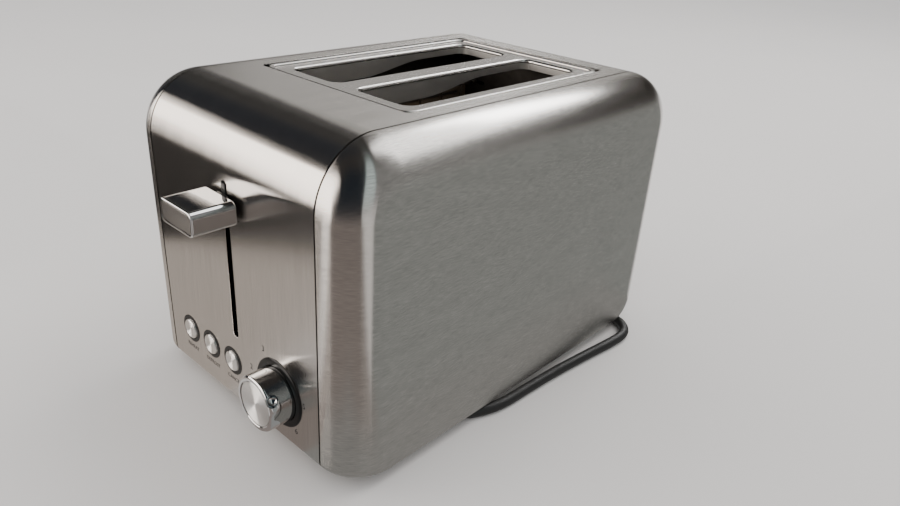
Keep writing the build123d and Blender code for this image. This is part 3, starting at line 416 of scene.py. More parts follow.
def finishes():
    """Every finish of the toaster by its short name."""
    colours = bpy.context.scene.toaster_colours
    steel, zinc, plastic = colours.steel, colours.zinc, colours.plastic
    line = 0.55 * MM
    return {
        "wrap": material("brushed_stainless_wrap", "brushed_skin",
                         brushed(steel, 0.21, 0.97, line, 30 * MM, 0.16, 0.1)),
        "side": material("brushed_stainless_side", "brushed_skin",
                         brushed(steel, 0.2, 1.0, line, 6 * MM, 0.26, 0.03)),
        "trim": material("satin_stainless_trim", "satin_trim", polished(colours.trim, 0.26)),
        "lining": material("satin_stainless_lining", "polished_lining", polished("D2CFCA", 0.4, 0.1)),
        "chrome": material("bright_chromium_plate", "chrome_plating", polished(colours.chrome, 0.045)),
        "plastic": material("black_moulded_plastic", "black_plastic", moulded(plastic, 0.3, ior=1.3)),
        "rubber": material("black_moulded_rubber", "rubber_black", moulded(colours.rubber, 0.68, depth=0.2)),
        "sheath": material("black_cord_sheath", "cord_sheath", moulded(colours.sheath, 0.46, 0.5 * MM, 0.1)),
        "ink": material("pad_printed_ink", "black_plastic", printed(colours.ink)),
        "zinc": material("zinc_coated_sheet", "zinc_sheet", rolled(zinc, 0.36)),
        # Dark partly for heat tint and partly as painted shade deep in the slots
        "heat_tint_and_shade": material("heat_tinted_and_shaded_sheet", "zinc_sheet", rolled("4E4A46", 0.42)),
        "wire": material("nickel_plated_wire", "plated_wire",
                         rolled("C9C6C0", 0.2, cell=6 * MM, spread=0.05)),
        "mica": material("mica_card", "mica", rolled("5E5141", 0.5, 0.0, cell=3.5 * MM, spread=0.25)),
        "ribbon": material("resistance_ribbon", "resistance_ribbon", rolled("8A827B", 0.42, cell=4 * MM)),
        "spring": material("drawn_spring_wire", "spring_steel", rolled("A5A5A3", 0.3, cell=5 * MM)),
        "iron": material("ground_soft_iron", "soft_iron", rolled("8C8C8E", 0.34, cell=1.5 * MM)),
        "winding": material("enamelled_copper_winding", "copper_winding",
                            rolled("A8562C", 0.3, cell=0.5 * MM)),
        "board": material("phenolic_board", "circuit_board", rolled("8C6A36", 0.5, 0.0, cell=1.2 * MM)),
        "pale": material("pale_moulded_nylon", "pale_plastic", moulded("CFCABB", 0.45)),
        "brass": material("nickel_plated_brass", "plated_brass",
                          rolled("CDBB8E", 0.24, cell=5 * MM, spread=0.05)),
        "screw": material("zinc_plated_screw", "screw_steel", rolled("B0B1B3", 0.3, cell=1.5 * MM)),
    }


# Meshes


def keep(piece, body, finish, *nodes):
    """The piece rides on its body, takes its slot from its finish and stands for its CAD nodes."""
    if piece.name not in bpy.context.scene.collection.objects:
        bpy.context.scene.collection.objects.link(piece)
    piece.data.materials.clear()
    piece.data.materials.append(finish)
    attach(piece, body)
    if nodes:
        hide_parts(*nodes)
    return piece


def filled(outline, holes):
    """Triangles, as places in the joined list of points, between an outline and the holes in it."""
    points = list(outline)
    edges = [(n, (n + 1) % len(outline)) for n in range(len(outline))]
    spans = []
    for hole in holes:
        start = len(points)
        points += hole
        edges += [(start + n, start + (n + 1) % len(hole)) for n in range(len(hole))]
        spans.append((start, len(points)))
    flat = [Vector(p[:2]) for p in points]
    _, _, faces, origins, _, _ = delaunay_2d_cdt(flat, edges, [], 0, 1e-9)
    found = [[origins[n][0] for n in face] for face in faces]
    return [face for face in found if not any(all(low <= n < high for n in face) for low, high in spans)]


class Sheet:
    """Thin metal: each point has its place on the outside and the inside, its outward way and its grain."""

    def __init__(self):
        self.points = []
        self.faces = []

    def point(self, outer, inner, out, grain):
        """Adds a point and returns its number. Grain is the distance across and along the brushing."""
        self.points.append((Vector(outer), Vector(inner), Vector(out).normalized(), grain))
        return len(self.points) - 1

    def face(self, *numbers):
        """Adds a face of the outside. It is turned to point outwards when the sheet is built."""
        self.faces.append(list(numbers))

    def strip(self, first, second, closed=True):
        """Faces between two rows of points."""
        count = len(first)
        for n in range(count if closed else count - 1):
            m = (n + 1) % count
            self.face(first[n], first[m], second[m], second[n])

    def fill(self, loops, up):
        """Triangles between a closed row of points and the rows in it. Up is the axis that is drawn as Y."""
        flat = [[(self.points[n][0].x, self.points[n][0][up]) for n in loop] for loop in loops]
        numbers = [n for loop in loops for n in loop]
        for triangle in filled(flat[0], flat[1:]):
            self.face(*[numbers[n] for n in triangle])

    def oriented(self):
        """The outer faces, each wound to point outwards."""
        result = []
        for numbers in self.faces:
            normal = Vector((0, 0, 0))
            places = [self.points[n][0] for n in numbers]
            for here, there in zip(places, places[1:] + places[:1]):
                normal += here.cross(there)
            out = sum((self.points[n][2] for n in numbers), Vector((0, 0, 0)))
            result.append(numbers[::-1] if normal.dot(out) < 0 else numbers)
        return result

    def build(self, name):
        """Mesh object with the outside, the inside and the rims, its normals taken from the points."""
        # A face that agrees less than this with a point's outward way is a rim, and stays flat
        agreement = 0.6
        outside = self.oriented()
        count = len(self.points)
        edges = {(a, b) for face in outside for a, b in zip(face, face[1:] + face[:1])}
        rims = [(b, a, a + count, b + count) for a, b in edges if (b, a) not in edges]
        faces = outside + [[n + count for n in face[::-1]] for face in outside] + rims
        places = [p[0] for p in self.points] + [p[1] for p in self.points]
        mesh = bpy.data.meshes.new(name)
        mesh.from_pydata(places, [], faces)
        mesh.update()
        outs = [p[2] for p in self.points] + [-p[2] for p in self.points]
        grains = [p[3] for p in self.points] * 2
        layer = mesh.uv_layers.new(name="grain")
        normals = []
        for polygon in mesh.polygons:
            for loop in polygon.loop_indices:
                vertex = mesh.loops[loop].vertex_index
                layer.data[loop].uv = grains[vertex]
                agrees = polygon.normal.dot(outs[vertex]) > agreement
                normals.append(outs[vertex] if agrees else polygon.normal)
        mesh.shade_smooth()
        mesh.normals_split_custom_set(normals)
        piece = bpy.data.objects.new(name, mesh)
        bpy.context.scene.collection.objects.link(piece)
        return piece


def rounded(width, height, corner, centre=(0.0, 0.0), grow=0.0, steps=8):
    """Points round a rectangle with rounded corners, anticlockwise."""
    reach = max(corner + grow, TINY)
    result = []
    for quarter, (sx, sy) in enumerate(((1, 1), (-1, 1), (-1, -1), (1, -1))):
        middle_x = centre[0] + sx * (width / 2 - corner)
        middle_y = centre[1] + sy * (height / 2 - corner)
        for n in range(steps + 1):
            angle = math.radians(90 * (quarter + n / steps))
            result.append((middle_x + reach * math.cos(angle), middle_y + reach * math.sin(angle)))
    return result


def circle(radius, centre, grow=0.0, steps=64):
    """Points round a circle, anticlockwise."""
    turns = [2 * math.pi * n / steps for n in range(steps)]
    return [(centre[0] + (radius + grow) * math.cos(t), centre[1] + (radius + grow) * math.sin(t))
            for t in turns]


def finished(name, mesh, sharp=SHARP):
    """Object from a bmesh, smooth but for its sharp edges, where big faces keep their flatness."""
    data = bpy.data.meshes.new(name)
    mesh.to_mesh(data)
    mesh.free()
    data.shade_smooth()
    data.set_sharp_from_angle(angle=math.radians(sharp))
    piece = bpy.data.objects.new(name, data)
    bpy.context.scene.collection.objects.link(piece)
    weighted = piece.modifiers.new("flat faces stay flat", "WEIGHTED_NORMAL")
    weighted.keep_sharp = True
    return piece


def loft(name, rings, sharp=SHARP):
    """Solid through closed rings of points, its ends capped, with shading split at its sharp edges."""
    mesh = bmesh.new()
    rows = [[mesh.verts.new(p) for p in ring] for ring in rings]
    for first, second in zip(rows, rows[1:]):
        count = len(first)
        for n in range(count):
            mesh.faces.new((first[n], first[(n + 1) % count], second[(n + 1) % count], second[n]))
    mesh.faces.new(rows[0][::-1])
    mesh.faces.new(rows[-1])
    bmesh.ops.recalc_face_normals(mesh, faces=mesh.faces)
    return finished(name, mesh, sharp)


def turned(name, profile, centre, axis, steps=96, sharp=SHARP):
    """Solid of revolution: the profile's points are a distance along the axis and a radius."""
    along = Vector(axis).normalized()
    side = along.orthogonal().normalized()
    other = along.cross(side)
    rings = []
    for distance, radius in profile:
        ring = []
        for n in range(steps):
            angle = 2 * math.pi * n / steps
            way = side * math.cos(angle) + other * math.sin(angle)
            ring.append(Vector(centre) + along * distance + way * max(radius, TINY))
        rings.append(ring)
    return loft(name, rings, sharp)


def open_ring(name, profile, centre, axis, steps):
    """Turned solid with a bore: its profile ends where it starts, so it needs no caps."""
    shape = turned(name, profile + profile[:1], centre, axis, steps)
    mesh = bmesh.new()
    mesh.from_mesh(shape.data)
    bpy.data.objects.remove(shape)
    bmesh.ops.remove_doubles(mesh, verts=mesh.verts, dist=FINE_MERGE)
    caps = [f for f in mesh.faces if len(f.verts) > CAP_CORNERS]
    bmesh.ops.delete(mesh, geom=caps, context="FACES_ONLY")
    bmesh.ops.recalc_face_normals(mesh, faces=mesh.faces)
    return finished(name, mesh)


def grain_round(piece, centre, axis):
    """Grain map for a turned face: V runs round the middle and U outwards from it."""
    across = 100
    mesh = piece.data
    layer = mesh.uv_layers.new(name="grain")
    along = Vector(axis).normalized()
    side = along.orthogonal().normalized()
    other = along.cross(side)
    for polygon in mesh.polygons:
        turns = []
        for loop in polygon.loop_indices:
            arm = mesh.vertices[mesh.loops[loop].vertex_index].co - Vector(centre)
            turns.append((loop, arm, math.atan2(arm.dot(other), arm.dot(side))))
        for loop, arm, turn in turns:
            if turn - turns[0][2] > math.pi:
                turn -= 2 * math.pi
            if turns[0][2] - turn > math.pi:
                turn += 2 * math.pi
            layer.data[loop].uv = ((arm - along * arm.dot(along)).length * across, turn)


def refined(node, finish, body, bevel=0.0):
    """Copy of a CAD node with its triangles joined to whole faces, its edges softened and shaded smoothly."""
    flat, edge_turn = math.radians(0.6), math.radians(40)
    mesh = bmesh.new()
    mesh.from_mesh(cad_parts[node].data)
    bmesh.ops.remove_doubles(mesh, verts=mesh.verts, dist=MERGE)
    bmesh.ops.dissolve_limit(mesh, angle_limit=flat, verts=mesh.verts, edges=mesh.edges)
    piece = finished(node + "_finished", mesh)
    if bevel:
        piece.modifiers.clear()
        edge = piece.modifiers.new("soft edges", "BEVEL")
        edge.width = bevel
        edge.segments = 2
        edge.limit_method = "ANGLE"
        edge.angle_limit = edge_turn
        edge.harden_normals = False
        weighted = piece.modifiers.new("flat faces stay flat", "WEIGHTED_NORMAL")
        weighted.keep_sharp = True
    return keep(piece, body, finish, node)


def dressed(node, finish):
    """A CAD node whose own mesh is kept, with its finish."""
    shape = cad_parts[node]
    shape.data.materials.clear()
    shape.data.materials.append(finish)


# Sheet metal skin


# Straight pieces that each bend of the side profile is drawn with
BEND_STEPS = 24


def loaf(shrink, inset):
    """Side profile from the bottom front bend over the top to the bottom back bend, as place and outward way.
    Shrink draws it in at front, top and back, and inset is how far it lies inside the sheet's face."""
    sizes = bpy.context.scene.toaster_body
    half = (back - front) / 2 - shrink - inset
    low, high = wrap_low.z + inset, wrap_high.z - shrink - inset
    fore, below, above = sizes.front_bend - inset, sizes.bottom_bend - inset, sizes.top_bend - shrink - inset
    bends = ((-half + fore, low + fore, fore, -90), (-half + above, high - above, above, 180),
             (half - above, high - above, above, 90), (half - below, low + below, below, 0))
    result = []
    for y, z, radius, start in bends:
        for n in range(BEND_STEPS + 1):
            angle = math.radians(start - 90 * n / BEND_STEPS)
            way = (math.cos(angle), math.sin(angle))
            result.append((y + radius * way[0], z + radius * way[1], way[0], way[1]))
    return result


def punched(sheet, outline, place, soft, out, lip=0.0):
    """Rounds the edge of a hole, with rows of points from the flat into it. Lip is how far its edge is
    turned in past the sheet. Returns the row on the flat."""
    levels = 2
    rows = []
    for level in range(levels + 1):
        turn = math.radians(90 * level / levels)
        grow = soft * (1 - math.sin(turn))
        sink = soft * (1 - math.cos(turn))
        ring = outline(grow)
        centre = Vector((sum(p[0] for p in ring), sum(p[1] for p in ring))) / len(ring)
        row = []
        for a, b in ring:
            outer, inner, grain = place(a, b)
            towards, _, _ = place(centre.x, centre.y)
            way = (towards - outer).normalized() * math.sin(turn) + Vector(out) * math.cos(turn)
            deep = Vector(out) * (lip if level == levels else 0.0)
            row.append(sheet.point(outer - Vector(out) * sink, inner - deep, way, grain))
        rows.append(row)
    for first, second in zip(rows, rows[1:]):
        sheet.strip(first, second)
    return rows[0]


def wrap_sheet():
    """The sheet up the front, over the top and down the back, with its punched holes."""
    sizes = bpy.context.scene.toaster_body
    trim = bpy.context.scene.toaster_trim
    controls = bpy.context.scene.toaster_controls
    sheet = Sheet()
    lip_end = (back - front) / 2 - sizes.bottom_bend - sizes.lip
    edge = wrap_high.x - sizes.seam_round
    low = wrap_low.z
    outer = [(-lip_end, low, 0, -1)] + loaf(0, 0) + [(lip_end, low, 0, -1)]
    inner_low = low + sizes.sheet
    inner = [(-lip_end, inner_low)] + [p[:2] for p in loaf(0, sizes.sheet)] + [(lip_end, inner_low)]
    run = 0.0
    rows = []
    for n, (y, z, ny, nz) in enumerate(outer):
        if n:
            run += math.dist((y, z), outer[n - 1][:2])
        inner_y, inner_z = inner[n]
        rows.append([sheet.point((x, middle + y, z), (x, middle + inner_y, inner_z), (0, ny, nz), (x, run))
                     for x in (-edge, edge)])
    bend_rows = BEND_STEPS + 1
    flats = {bend_rows: "front", 2 * bend_rows: "top", 3 * bend_rows: "back"}
    for n, (first, second) in enumerate(zip(rows, rows[1:])):
        if n not in flats:
            sheet.face(first[0], first[1], second[1], second[0])
    slot_middle = (0.0, (controls.slot_low + controls.slot_high) / 2)
    slot_length = controls.slot_high - controls.slot_low
    slot_end = controls.slot_width / 2 - TINY
    # How far the black rings cover the sheet round their holes
    key_cover, dial_cover = 0.9 * MM, 3.4 * MM
    key_middles, key_z, key_reach = button_row()
    key_hole = key_reach - key_cover
    dial_x, dial_z, dial_reach = dial_circle()
    dial_hole = dial_reach - dial_cover
    # How much wider and higher than the tray its opening is
    tray_play = (1.6 * MM, 1.2 * MM)
    tray_low, tray_high = corners("crumb_tray")
    tray_width, tray_height = tray_high.x * 2 + tray_play[0], tray_high.z - tray_low.z + tray_play[1]
    tray_middle = (0.0, (tray_low.z + tray_high.z) / 2)
    open_width, open_length = trim_outline(trim.gap)
    holes = {
        "front": [lambda g: rounded(controls.slot_width, slot_length, slot_end, slot_middle, g),
                  lambda g: circle(dial_hole, (dial_x, dial_z), g, 96)]
        + [lambda g, x=x: circle(key_hole, (x, key_z), g) for x in key_middles],
        "top": [lambda g: rounded(open_width, open_length, trim.corner / 3, (0.0, trim_middle), g)],
        "back": [lambda g: rounded(tray_width, tray_height, 0.8 * MM, tray_middle, g)],
    }
    for start, name in flats.items():
        first, second = rows[start], rows[start + 1]
        at_first = sheet.points[first[0]]
        out = at_first[2]

        def place(a, b, at_first=at_first, out=out, name=name):
            if name == "top":
                outer_place = Vector((a, b, at_first[0].z))
                along = b - at_first[0].y
            else:
                outer_place = Vector((a, at_first[0].y, b))
                along = abs(b - at_first[0].z)
            return outer_place, outer_place - out * sizes.sheet, (a, at_first[3][1] + along)

        lips = [controls.slot_lip - sizes.sheet if hole is holes["front"][0] else 0.0 for hole in holes[name]]
        rings = [punched(sheet, hole, place, sizes.soft_edge, out, lip)
                 for hole, lip in zip(holes[name], lips)]
        sheet.fill([[first[0], first[1], second[1], second[0]]] + rings, 1 if name == "top" else 2)
    return sheet.build("brushed_wrap")


def side_sheet(name, side):
    """Deep-drawn side panel, brushed lengthways and round its rolled edge."""
    sizes = bpy.context.scene.toaster_body
    sheet = Sheet()
    seam = wrap_high.x + sizes.seam_gap / 2
    roll = side_high.x - seam
    inner_roll = roll - sizes.sheet
    lip_end = (back - front) / 2 - sizes.bottom_bend - sizes.lip
    flange_edge = side_high.x - sizes.sheet - sizes.flange
    flange_turn = math.asin((flange_edge - seam) / roll)
    roll_steps = 28
    # Shortest lip that a row keeps behind its bends
    least_lip = 0.3 * MM
    turns = sorted([math.radians(90 * n / roll_steps) for n in range(roll_steps + 1)] + [flange_turn])
    low = wrap_low.z
    rows = []
    for turn in turns:
        drop, inner_drop = roll * (1 - math.cos(turn)), inner_roll * (1 - math.cos(turn))
        x = seam + max(roll * math.sin(turn), sizes.seam_gap / 2 + sizes.seam_round)
        inner_x = seam + max(inner_roll * math.sin(turn), sizes.seam_gap / 2 + sizes.seam_round)
        ring, inner_ring = loaf(drop, 0), loaf(inner_drop, sizes.sheet)
        for points, inset in ((ring, 0), (inner_ring, sizes.sheet)):
            end = min(lip_end, points[-1][0] - least_lip)
            points.insert(0, (-end, low + inset, 0, -1))
            points.append((end, low + inset, 0, -1))
        # The grain map is laid out flat, so the brushing keeps its pitch round the roll
        unroll = roll * ((math.pi / 2 - turn) - math.cos(turn))
        row = []
        for (y, z, ny, nz), (inner_y, inner_z, _, _) in zip(ring, inner_ring):
            # The sideways lean fades round the lower bends, so that the lip under the body faces down
            lean = abs(ny) if z < low + (sizes.front_bend if y < 0 else sizes.bottom_bend) + TINY else 1.0
            way = (side * math.sin(turn) * lean, math.cos(turn) * ny, math.cos(turn) * nz)
            if Vector(way).length < 1e-4:
                way = (0, 0, -1)
            row.append(sheet.point((side * x, middle + y, z), (side * inner_x, middle + inner_y, inner_z),
                                   way, (z + nz * unroll, y + ny * unroll)))
        rows.append(row)
    for first, second, turn in zip(rows, rows[1:], turns):
        sheet.strip(first, second, closed=turn >= flange_turn - TINY)
    sheet.face(*rows[-1])
    return sheet.build(name)


class TOASTER_OT_skin(bpy.types.Operator):
    """Build the brushed wrap and both side panels"""

    bl_idname = "toaster.skin"
    bl_label = "Steel skin"

    def execute(self, context):
        metal = finishes()
        keep(wrap_sheet(), "housing", metal["wrap"], "wrap_panel")
        keep(side_sheet("brushed_side_right", 1), "housing", metal["side"], "right_side_panel")
        keep(side_sheet("brushed_side_left", -1), "housing", metal["side"], "left_side_panel")
        return {"FINISHED"}


# Top trim and slot linings


def slot_centres():
    """Middles of the two slots in plan."""
    trim = bpy.context.scene.toaster_trim
    x = (trim.slot_bar + trim.slot_width) / 2
    return [(-x, trim_middle), (x, trim_middle)]


def trim_sheet():
    """Plate with a raised rim, a sunk field and edges turned down into the slots."""
    trim = bpy.context.scene.toaster_trim
    sheet = Sheet()
    width, size = trim_outline(-trim.edge_gap)
    centre = (0.0, trim_middle)
    top = trim_high.z
    field = top - trim.recess
    wall = 0.6 * MM

    def ring(outline, height, tilt, outward):
        """Row of points round an outline. Tilt turns its outward way from up to sideways."""
        row = []
        for n, (a, b) in enumerate(outline):
            before, after = Vector(outline[n - 1]), Vector(outline[(n + 1) % len(outline)])
            along = (after - before).normalized()
            side = Vector((along.y, -along.x, 0)) * outward
            way = (side * math.sin(tilt) + Vector((0, 0, math.cos(tilt)))).normalized()
            place = Vector((a, b, height))
            row.append(sheet.point(place, place - way * wall, way, (a, b)))
        return row

    quarter = math.pi / 2
    rise = 0.8 * MM
    fall = top - field
    turns = [quarter * n / 6 for n in range(7)]
    border = [(0.0, trim_low.z, quarter), (0.0, top - rise, quarter)]
    border += [(-rise * (1 - math.cos(t)), top - rise * (1 - math.sin(t)), quarter - t) for t in turns[1:]]
    border += [(-trim.rim - fall * math.sin(t), top - fall * (1 - math.cos(t)), -t) for t in turns[:-1]]
    border += [(-trim.rim - fall, field, 0.0)]
    rows = [ring(rounded(width, size, trim.corner, centre, grow, 10), height, tilt, 1.0)
            for grow, height, tilt in border]
    for first, second in zip(rows, rows[1:]):
        sheet.strip(first, second)
    bend = trim.bend
    slot_rows = []
    for middle_point in slot_centres():
        path = [(bend * (1 - math.sin(t)), field - bend * (1 - math.cos(t)), t) for t in turns]
        path.append((0.0, field - bend - 0.3 * MM, quarter))
        found = [ring(rounded(trim.slot_width, trim.slot_length, trim.slot_corner, middle_point, grow, 10),
                      height, tilt, -1.0) for grow, height, tilt in path]
        for first, second in zip(found, found[1:]):
            sheet.strip(first, second)
        slot_rows.append(found[0])
    sheet.fill([rows[-1]] + slot_rows, 1)
    return sheet.build("slot_trim")


def lining_sheet():
    """Thin walls under the slots, cut away towards the back, with the shallow dents of such sheet."""
    trim = bpy.context.scene.toaster_trim
    sheet = Sheet()
    depth_rows = 12
    spacing = 6 * MM
    stand_back, wall = 0.3 * MM, 0.5 * MM
    top = trim_high.z - trim.recess - trim.bend - 0.8 * MM
    cut_start, cut_end = middle - 10 * MM, middle + 45 * MM
    dents = Vector((38, 38, 60))
    for number, centre in enumerate(slot_centres()):
        straight = rounded(trim.slot_width, trim.slot_length, trim.slot_corner, centre, 0.0, 6)
        outline = []
        for here, there in zip(straight, straight[1:] + straight[:1]):
            gap = math.dist(here, there)
            parts = max(1, round(gap / spacing))
            outline += [Vector(here).lerp(Vector(there), n / parts) for n in range(parts)]
        rows = []
        for level in range(depth_rows + 1):
            share = level / depth_rows
            row = []
            for n, place in enumerate(outline):
                along_cut = min(max((place.y - cut_start) / (cut_end - cut_start), 0.0), 1.0)
                fade = along_cut * along_cut * (3 - 2 * along_cut)
                depth = trim.lining_front + (trim.lining_back - trim.lining_front) * fade
                height = top - depth * share
                along = (outline[(n + 1) % len(outline)] - outline[n - 1]).normalized()
                inward = Vector((-along.y, along.x, 0))
                spot = Vector((place.x, place.y, height)) * dents + Vector((0, 0, number * 7))
                dent = noise.noise(spot) * trim.wave * math.sin(math.pi * share)
                outer = Vector((place.x, place.y, height)) - inward * (stand_back - dent)
                row.append(sheet.point(outer, outer - inward * wall, inward, (n * spacing, height)))
            rows.append(row)
        for first, second in zip(rows, rows[1:]):
            sheet.strip(first, second)
    piece = sheet.build("slot_linings")
    piece.data.normals_split_custom_set([(0, 0, 0)] * len(piece.data.loops))
    return piece


class TOASTER_OT_trim(bpy.types.Operator):
    """Build the top trim plate and the slot linings"""

    bl_idname = "toaster.trim"
    bl_label = "Top trim"

    def execute(self, context):
        metal = finishes()
        keep(trim_sheet(), "housing", metal["trim"], "trim_plate")
        keep(lining_sheet(), "housing", metal["lining"], "slot_chutes")
        return {"FINISHED"}


# Lever, buttons and dial


def upright(outline, y):
    """Outline in X and Z at one Y."""
    return [(a, y, b) for a, b in outline]


class TOASTER_OT_lever(bpy.types.Operator):
    """Build the lever's plated knob, its satin face and its stem"""

    bl_idname = "toaster.lever"
    bl_label = "Lever"

    def execute(self, context):
        metal = finishes()
        low, high = corners("lever_knob")
        width, height = high.x - low.x, high.z - low.z
        centre = (0.0, (low.z + high.z) / 2)
        corner = 3.6 * MM
        soft = 0.8 * MM
        rim = 1.15 * MM
        recess = 1.6 * MM
        face_gap = 0.45 * MM
        face_sink = 0.3 * MM

        def outline(grow):
            return rounded(width, height, corner, centre, grow, 10)

        turns = (0.0, 0.4, 0.8, 1.2, math.pi / 2)
        rings = [upright(outline(-soft * (1 - math.sin(t))), high.y - soft * (1 - math.cos(t)))
                 for t in turns]
        rings += [upright(outline(-soft * (1 - math.cos(t))), low.y + soft * (1 - math.sin(t)))
                  for t in turns]
        rings += [upright(outline(-rim), low.y), upright(outline(-rim - 0.15 * MM), low.y + recess)]
        keep(loft("lever_grip", rings), "lever_carriage", metal["chrome"], "lever_knob")
        face = [upright(outline(-rim - face_gap), low.y + recess + 0.1 * MM),
                upright(outline(-rim - face_gap), low.y + face_sink + 0.1 * MM),
                upright(outline(-rim - face_gap - 0.15 * MM), low.y + face_sink)]
        plate = loft("lever_face", face)
        grain = plate.data.uv_layers.new(name="grain")
        for loop in plate.data.loops:
            place = plate.data.vertices[loop.vertex_index].co
            grain.data[loop.index].uv = (place.z, place.x)
        keep(plate, "lever_carriage", metal["side"], "lever_inset")
        refined("lever_collar", metal["plastic"], "lever_carriage", 0.4 * MM)
        refined("lever_arm", metal["plastic"], "lever_carriage", 0.3 * MM)
        refined("lever_slot_guard", metal["plastic"], "housing")
        return {"FINISHED"}


class TOASTER_OT_buttons(bpy.types.Operator):
    """Build the three buttons and their black rings"""

    bl_idname = "toaster.buttons"
    bl_label = "Buttons"

    def execute(self, context):
        metal = finishes()
        places, height, reach = button_row()
        radius = context.scene.toaster_controls.button_cap
        hole = radius + 0.4 * MM
        proud = front - corners("button_bezels")[0].y
        ring_profile = [(-3.0 * MM, hole), (-3.0 * MM, reach - 1.0 * MM), (0.0, reach - 1.0 * MM),
                        (0.0, reach), (proud * 0.6, reach - 0.05 * MM), (proud, reach - 0.3 * MM),
                        (proud, hole + 0.25 * MM), (proud * 0.6, hole)]
        joined = bmesh.new()
        for x in places:
            ring = open_ring("ring", ring_profile, (x, front, height), (0, -1, 0), 72)
            joined.from_mesh(ring.data)
            bpy.data.objects.remove(ring)
        keep(finished("button_rings", joined), "housing", metal["plastic"], "button_bezels")
        for x, word in zip(places, ("reheat", "defrost", "cancel")):
            node = "button_" + word
            node_low, node_high = corners(node)
            cap = front - node_low.y
            deep = node_high.y - front
            flange = (node_high.x - node_low.x) / 2
            profile = [(-deep, 0.0), (-deep, 2.0 * MM), (-5.0 * MM, 2.0 * MM), (-5.0 * MM, flange),
                       (-3.8 * MM, flange), (-3.8 * MM, radius), (cap - 0.9 * MM, radius),
                       (cap - 0.45 * MM, radius - 0.12 * MM), (cap - 0.15 * MM, radius - 0.4 * MM),
                       (cap, radius - 0.9 * MM), (cap - 0.15 * MM, radius - 1.5 * MM),
                       (cap - 0.42 * MM, radius * 0.5), (cap - 0.5 * MM, 0.0)]
            button = turned(f"{word}_button", profile, (x, front, height), (0, -1, 0), 72)
            grain_round(button, (x, front, height), (0, -1, 0))
            face = material("spun_aluminium_" + word, "spun_cap",
                            spun(context.scene.toaster_colours.spun, (x, front, height)))
            keep(button, f"{word}_key", face, node)
        return {"FINISHED"}


class TOASTER_OT_dial(bpy.types.Operator):
    """Build the browning dial, its spun face and its ring"""

    bl_idname = "toaster.dial"
    bl_label = "Browning dial"

    def execute(self, context):
        metal = finishes()
        controls = context.scene.toaster_controls
        low, high = corners("browning_knob")
        centre = Vector(((low.x + high.x) / 2, front, (low.z + high.z) / 2))
        radius = (high.x - low.x) / 2
        reach = front - low.y
        face_radius = controls.dial_face
        lip = 1.4 * MM
        gap = 0.45 * MM
        deep = high.y - front
        profile = [(-deep, 0.0), (-deep, radius)]
        profile += [(reach - lip * (1 - math.sin(t)), radius - lip * (1 - math.cos(t)))
                    for t in [math.pi / 2 * n / 8 for n in range(9)]]
        profile += [(reach, face_radius + gap + 0.2 * MM), (reach - 0.2 * MM, face_radius + gap),
                    (reach - 1.2 * MM, face_radius + gap), (reach - 1.2 * MM, 0.0)]
        knob = turned("dial_grip", profile, centre, (0, -1, 0), 128)
        pointer = Vector((math.sin(controls.dial_pointer), 0, math.cos(controls.dial_pointer)))
        scoop_radius = controls.notch
        scoop_centre = centre + pointer * (radius - 0.3 * MM) + Vector((0, 2.4 * MM - reach, 0))
        scoop_profile = [(-scoop_radius * math.cos(t), scoop_radius * math.sin(t))
                         for t in [math.pi * n / 24 for n in range(25)]]
        scoop = turned("scoop", scoop_profile, scoop_centre, (0, -1, 0), 48)
        scoop.modifiers.clear()
        knob.modifiers.clear()
        cut = knob.modifiers.new("thumb notch", "BOOLEAN")
        cut.operation = "DIFFERENCE"
        cut.solver = "EXACT"
        cut.object = scoop
        notched = bpy.data.meshes.new_from_object(knob.evaluated_get(context.evaluated_depsgraph_get()))
        bpy.data.objects.remove(scoop)
        bpy.data.objects.remove(knob)
        mesh = bmesh.new()
        mesh.from_mesh(notched)
        bmesh.ops.remove_doubles(mesh, verts=mesh.verts, dist=FINE_MERGE)
        grip = finished("dial_grip", mesh, sharp=32.0)
        keep(grip, "browning_dial", metal["chrome"], "browning_knob")
        disc = [(reach - 1.2 * MM, 0.0), (reach - 1.2 * MM, face_radius), (reach - 0.5 * MM, face_radius),
                (reach - 0.3 * MM, face_radius - 0.2 * MM), (reach - 0.3 * MM, 0.3 * MM),
                (reach - 0.3 * MM, 0.0)]
        face = turned("dial_face", disc, centre, (0, -1, 0), 96)
        grain_round(face, centre, (0, -1, 0))
        spun_face = material("spun_aluminium_dial", "spun_cap",
                             spun(context.scene.toaster_colours.spun, centre))
        keep(face, "browning_dial", spun_face, "knob_face")
        outer = dial_circle()[2]
        proud = front - corners("knob_bezel")[0].y
        hole = radius + 0.3 * MM
        ring = [(-1.0 * MM, hole), (-1.0 * MM, outer - 3.5 * MM), (0.0, outer - 3.5 * MM), (0.0, outer),
                (proud * 0.3, outer), (proud * 0.7, outer - 0.35 * MM), (proud * 0.93, outer - 0.9 * MM),
                (proud, outer - 1.6 * MM), (proud * 0.98, hole + 0.5 * MM), (proud * 0.85, hole)]
        band = open_ring("dial_ring", ring, centre, (0, -1, 0), 128)
        keep(band, "housing", metal["plastic"], "knob_bezel")
        refined("knob_shaft", metal["pale"], "browning_dial")
        return {"FINISHED"}


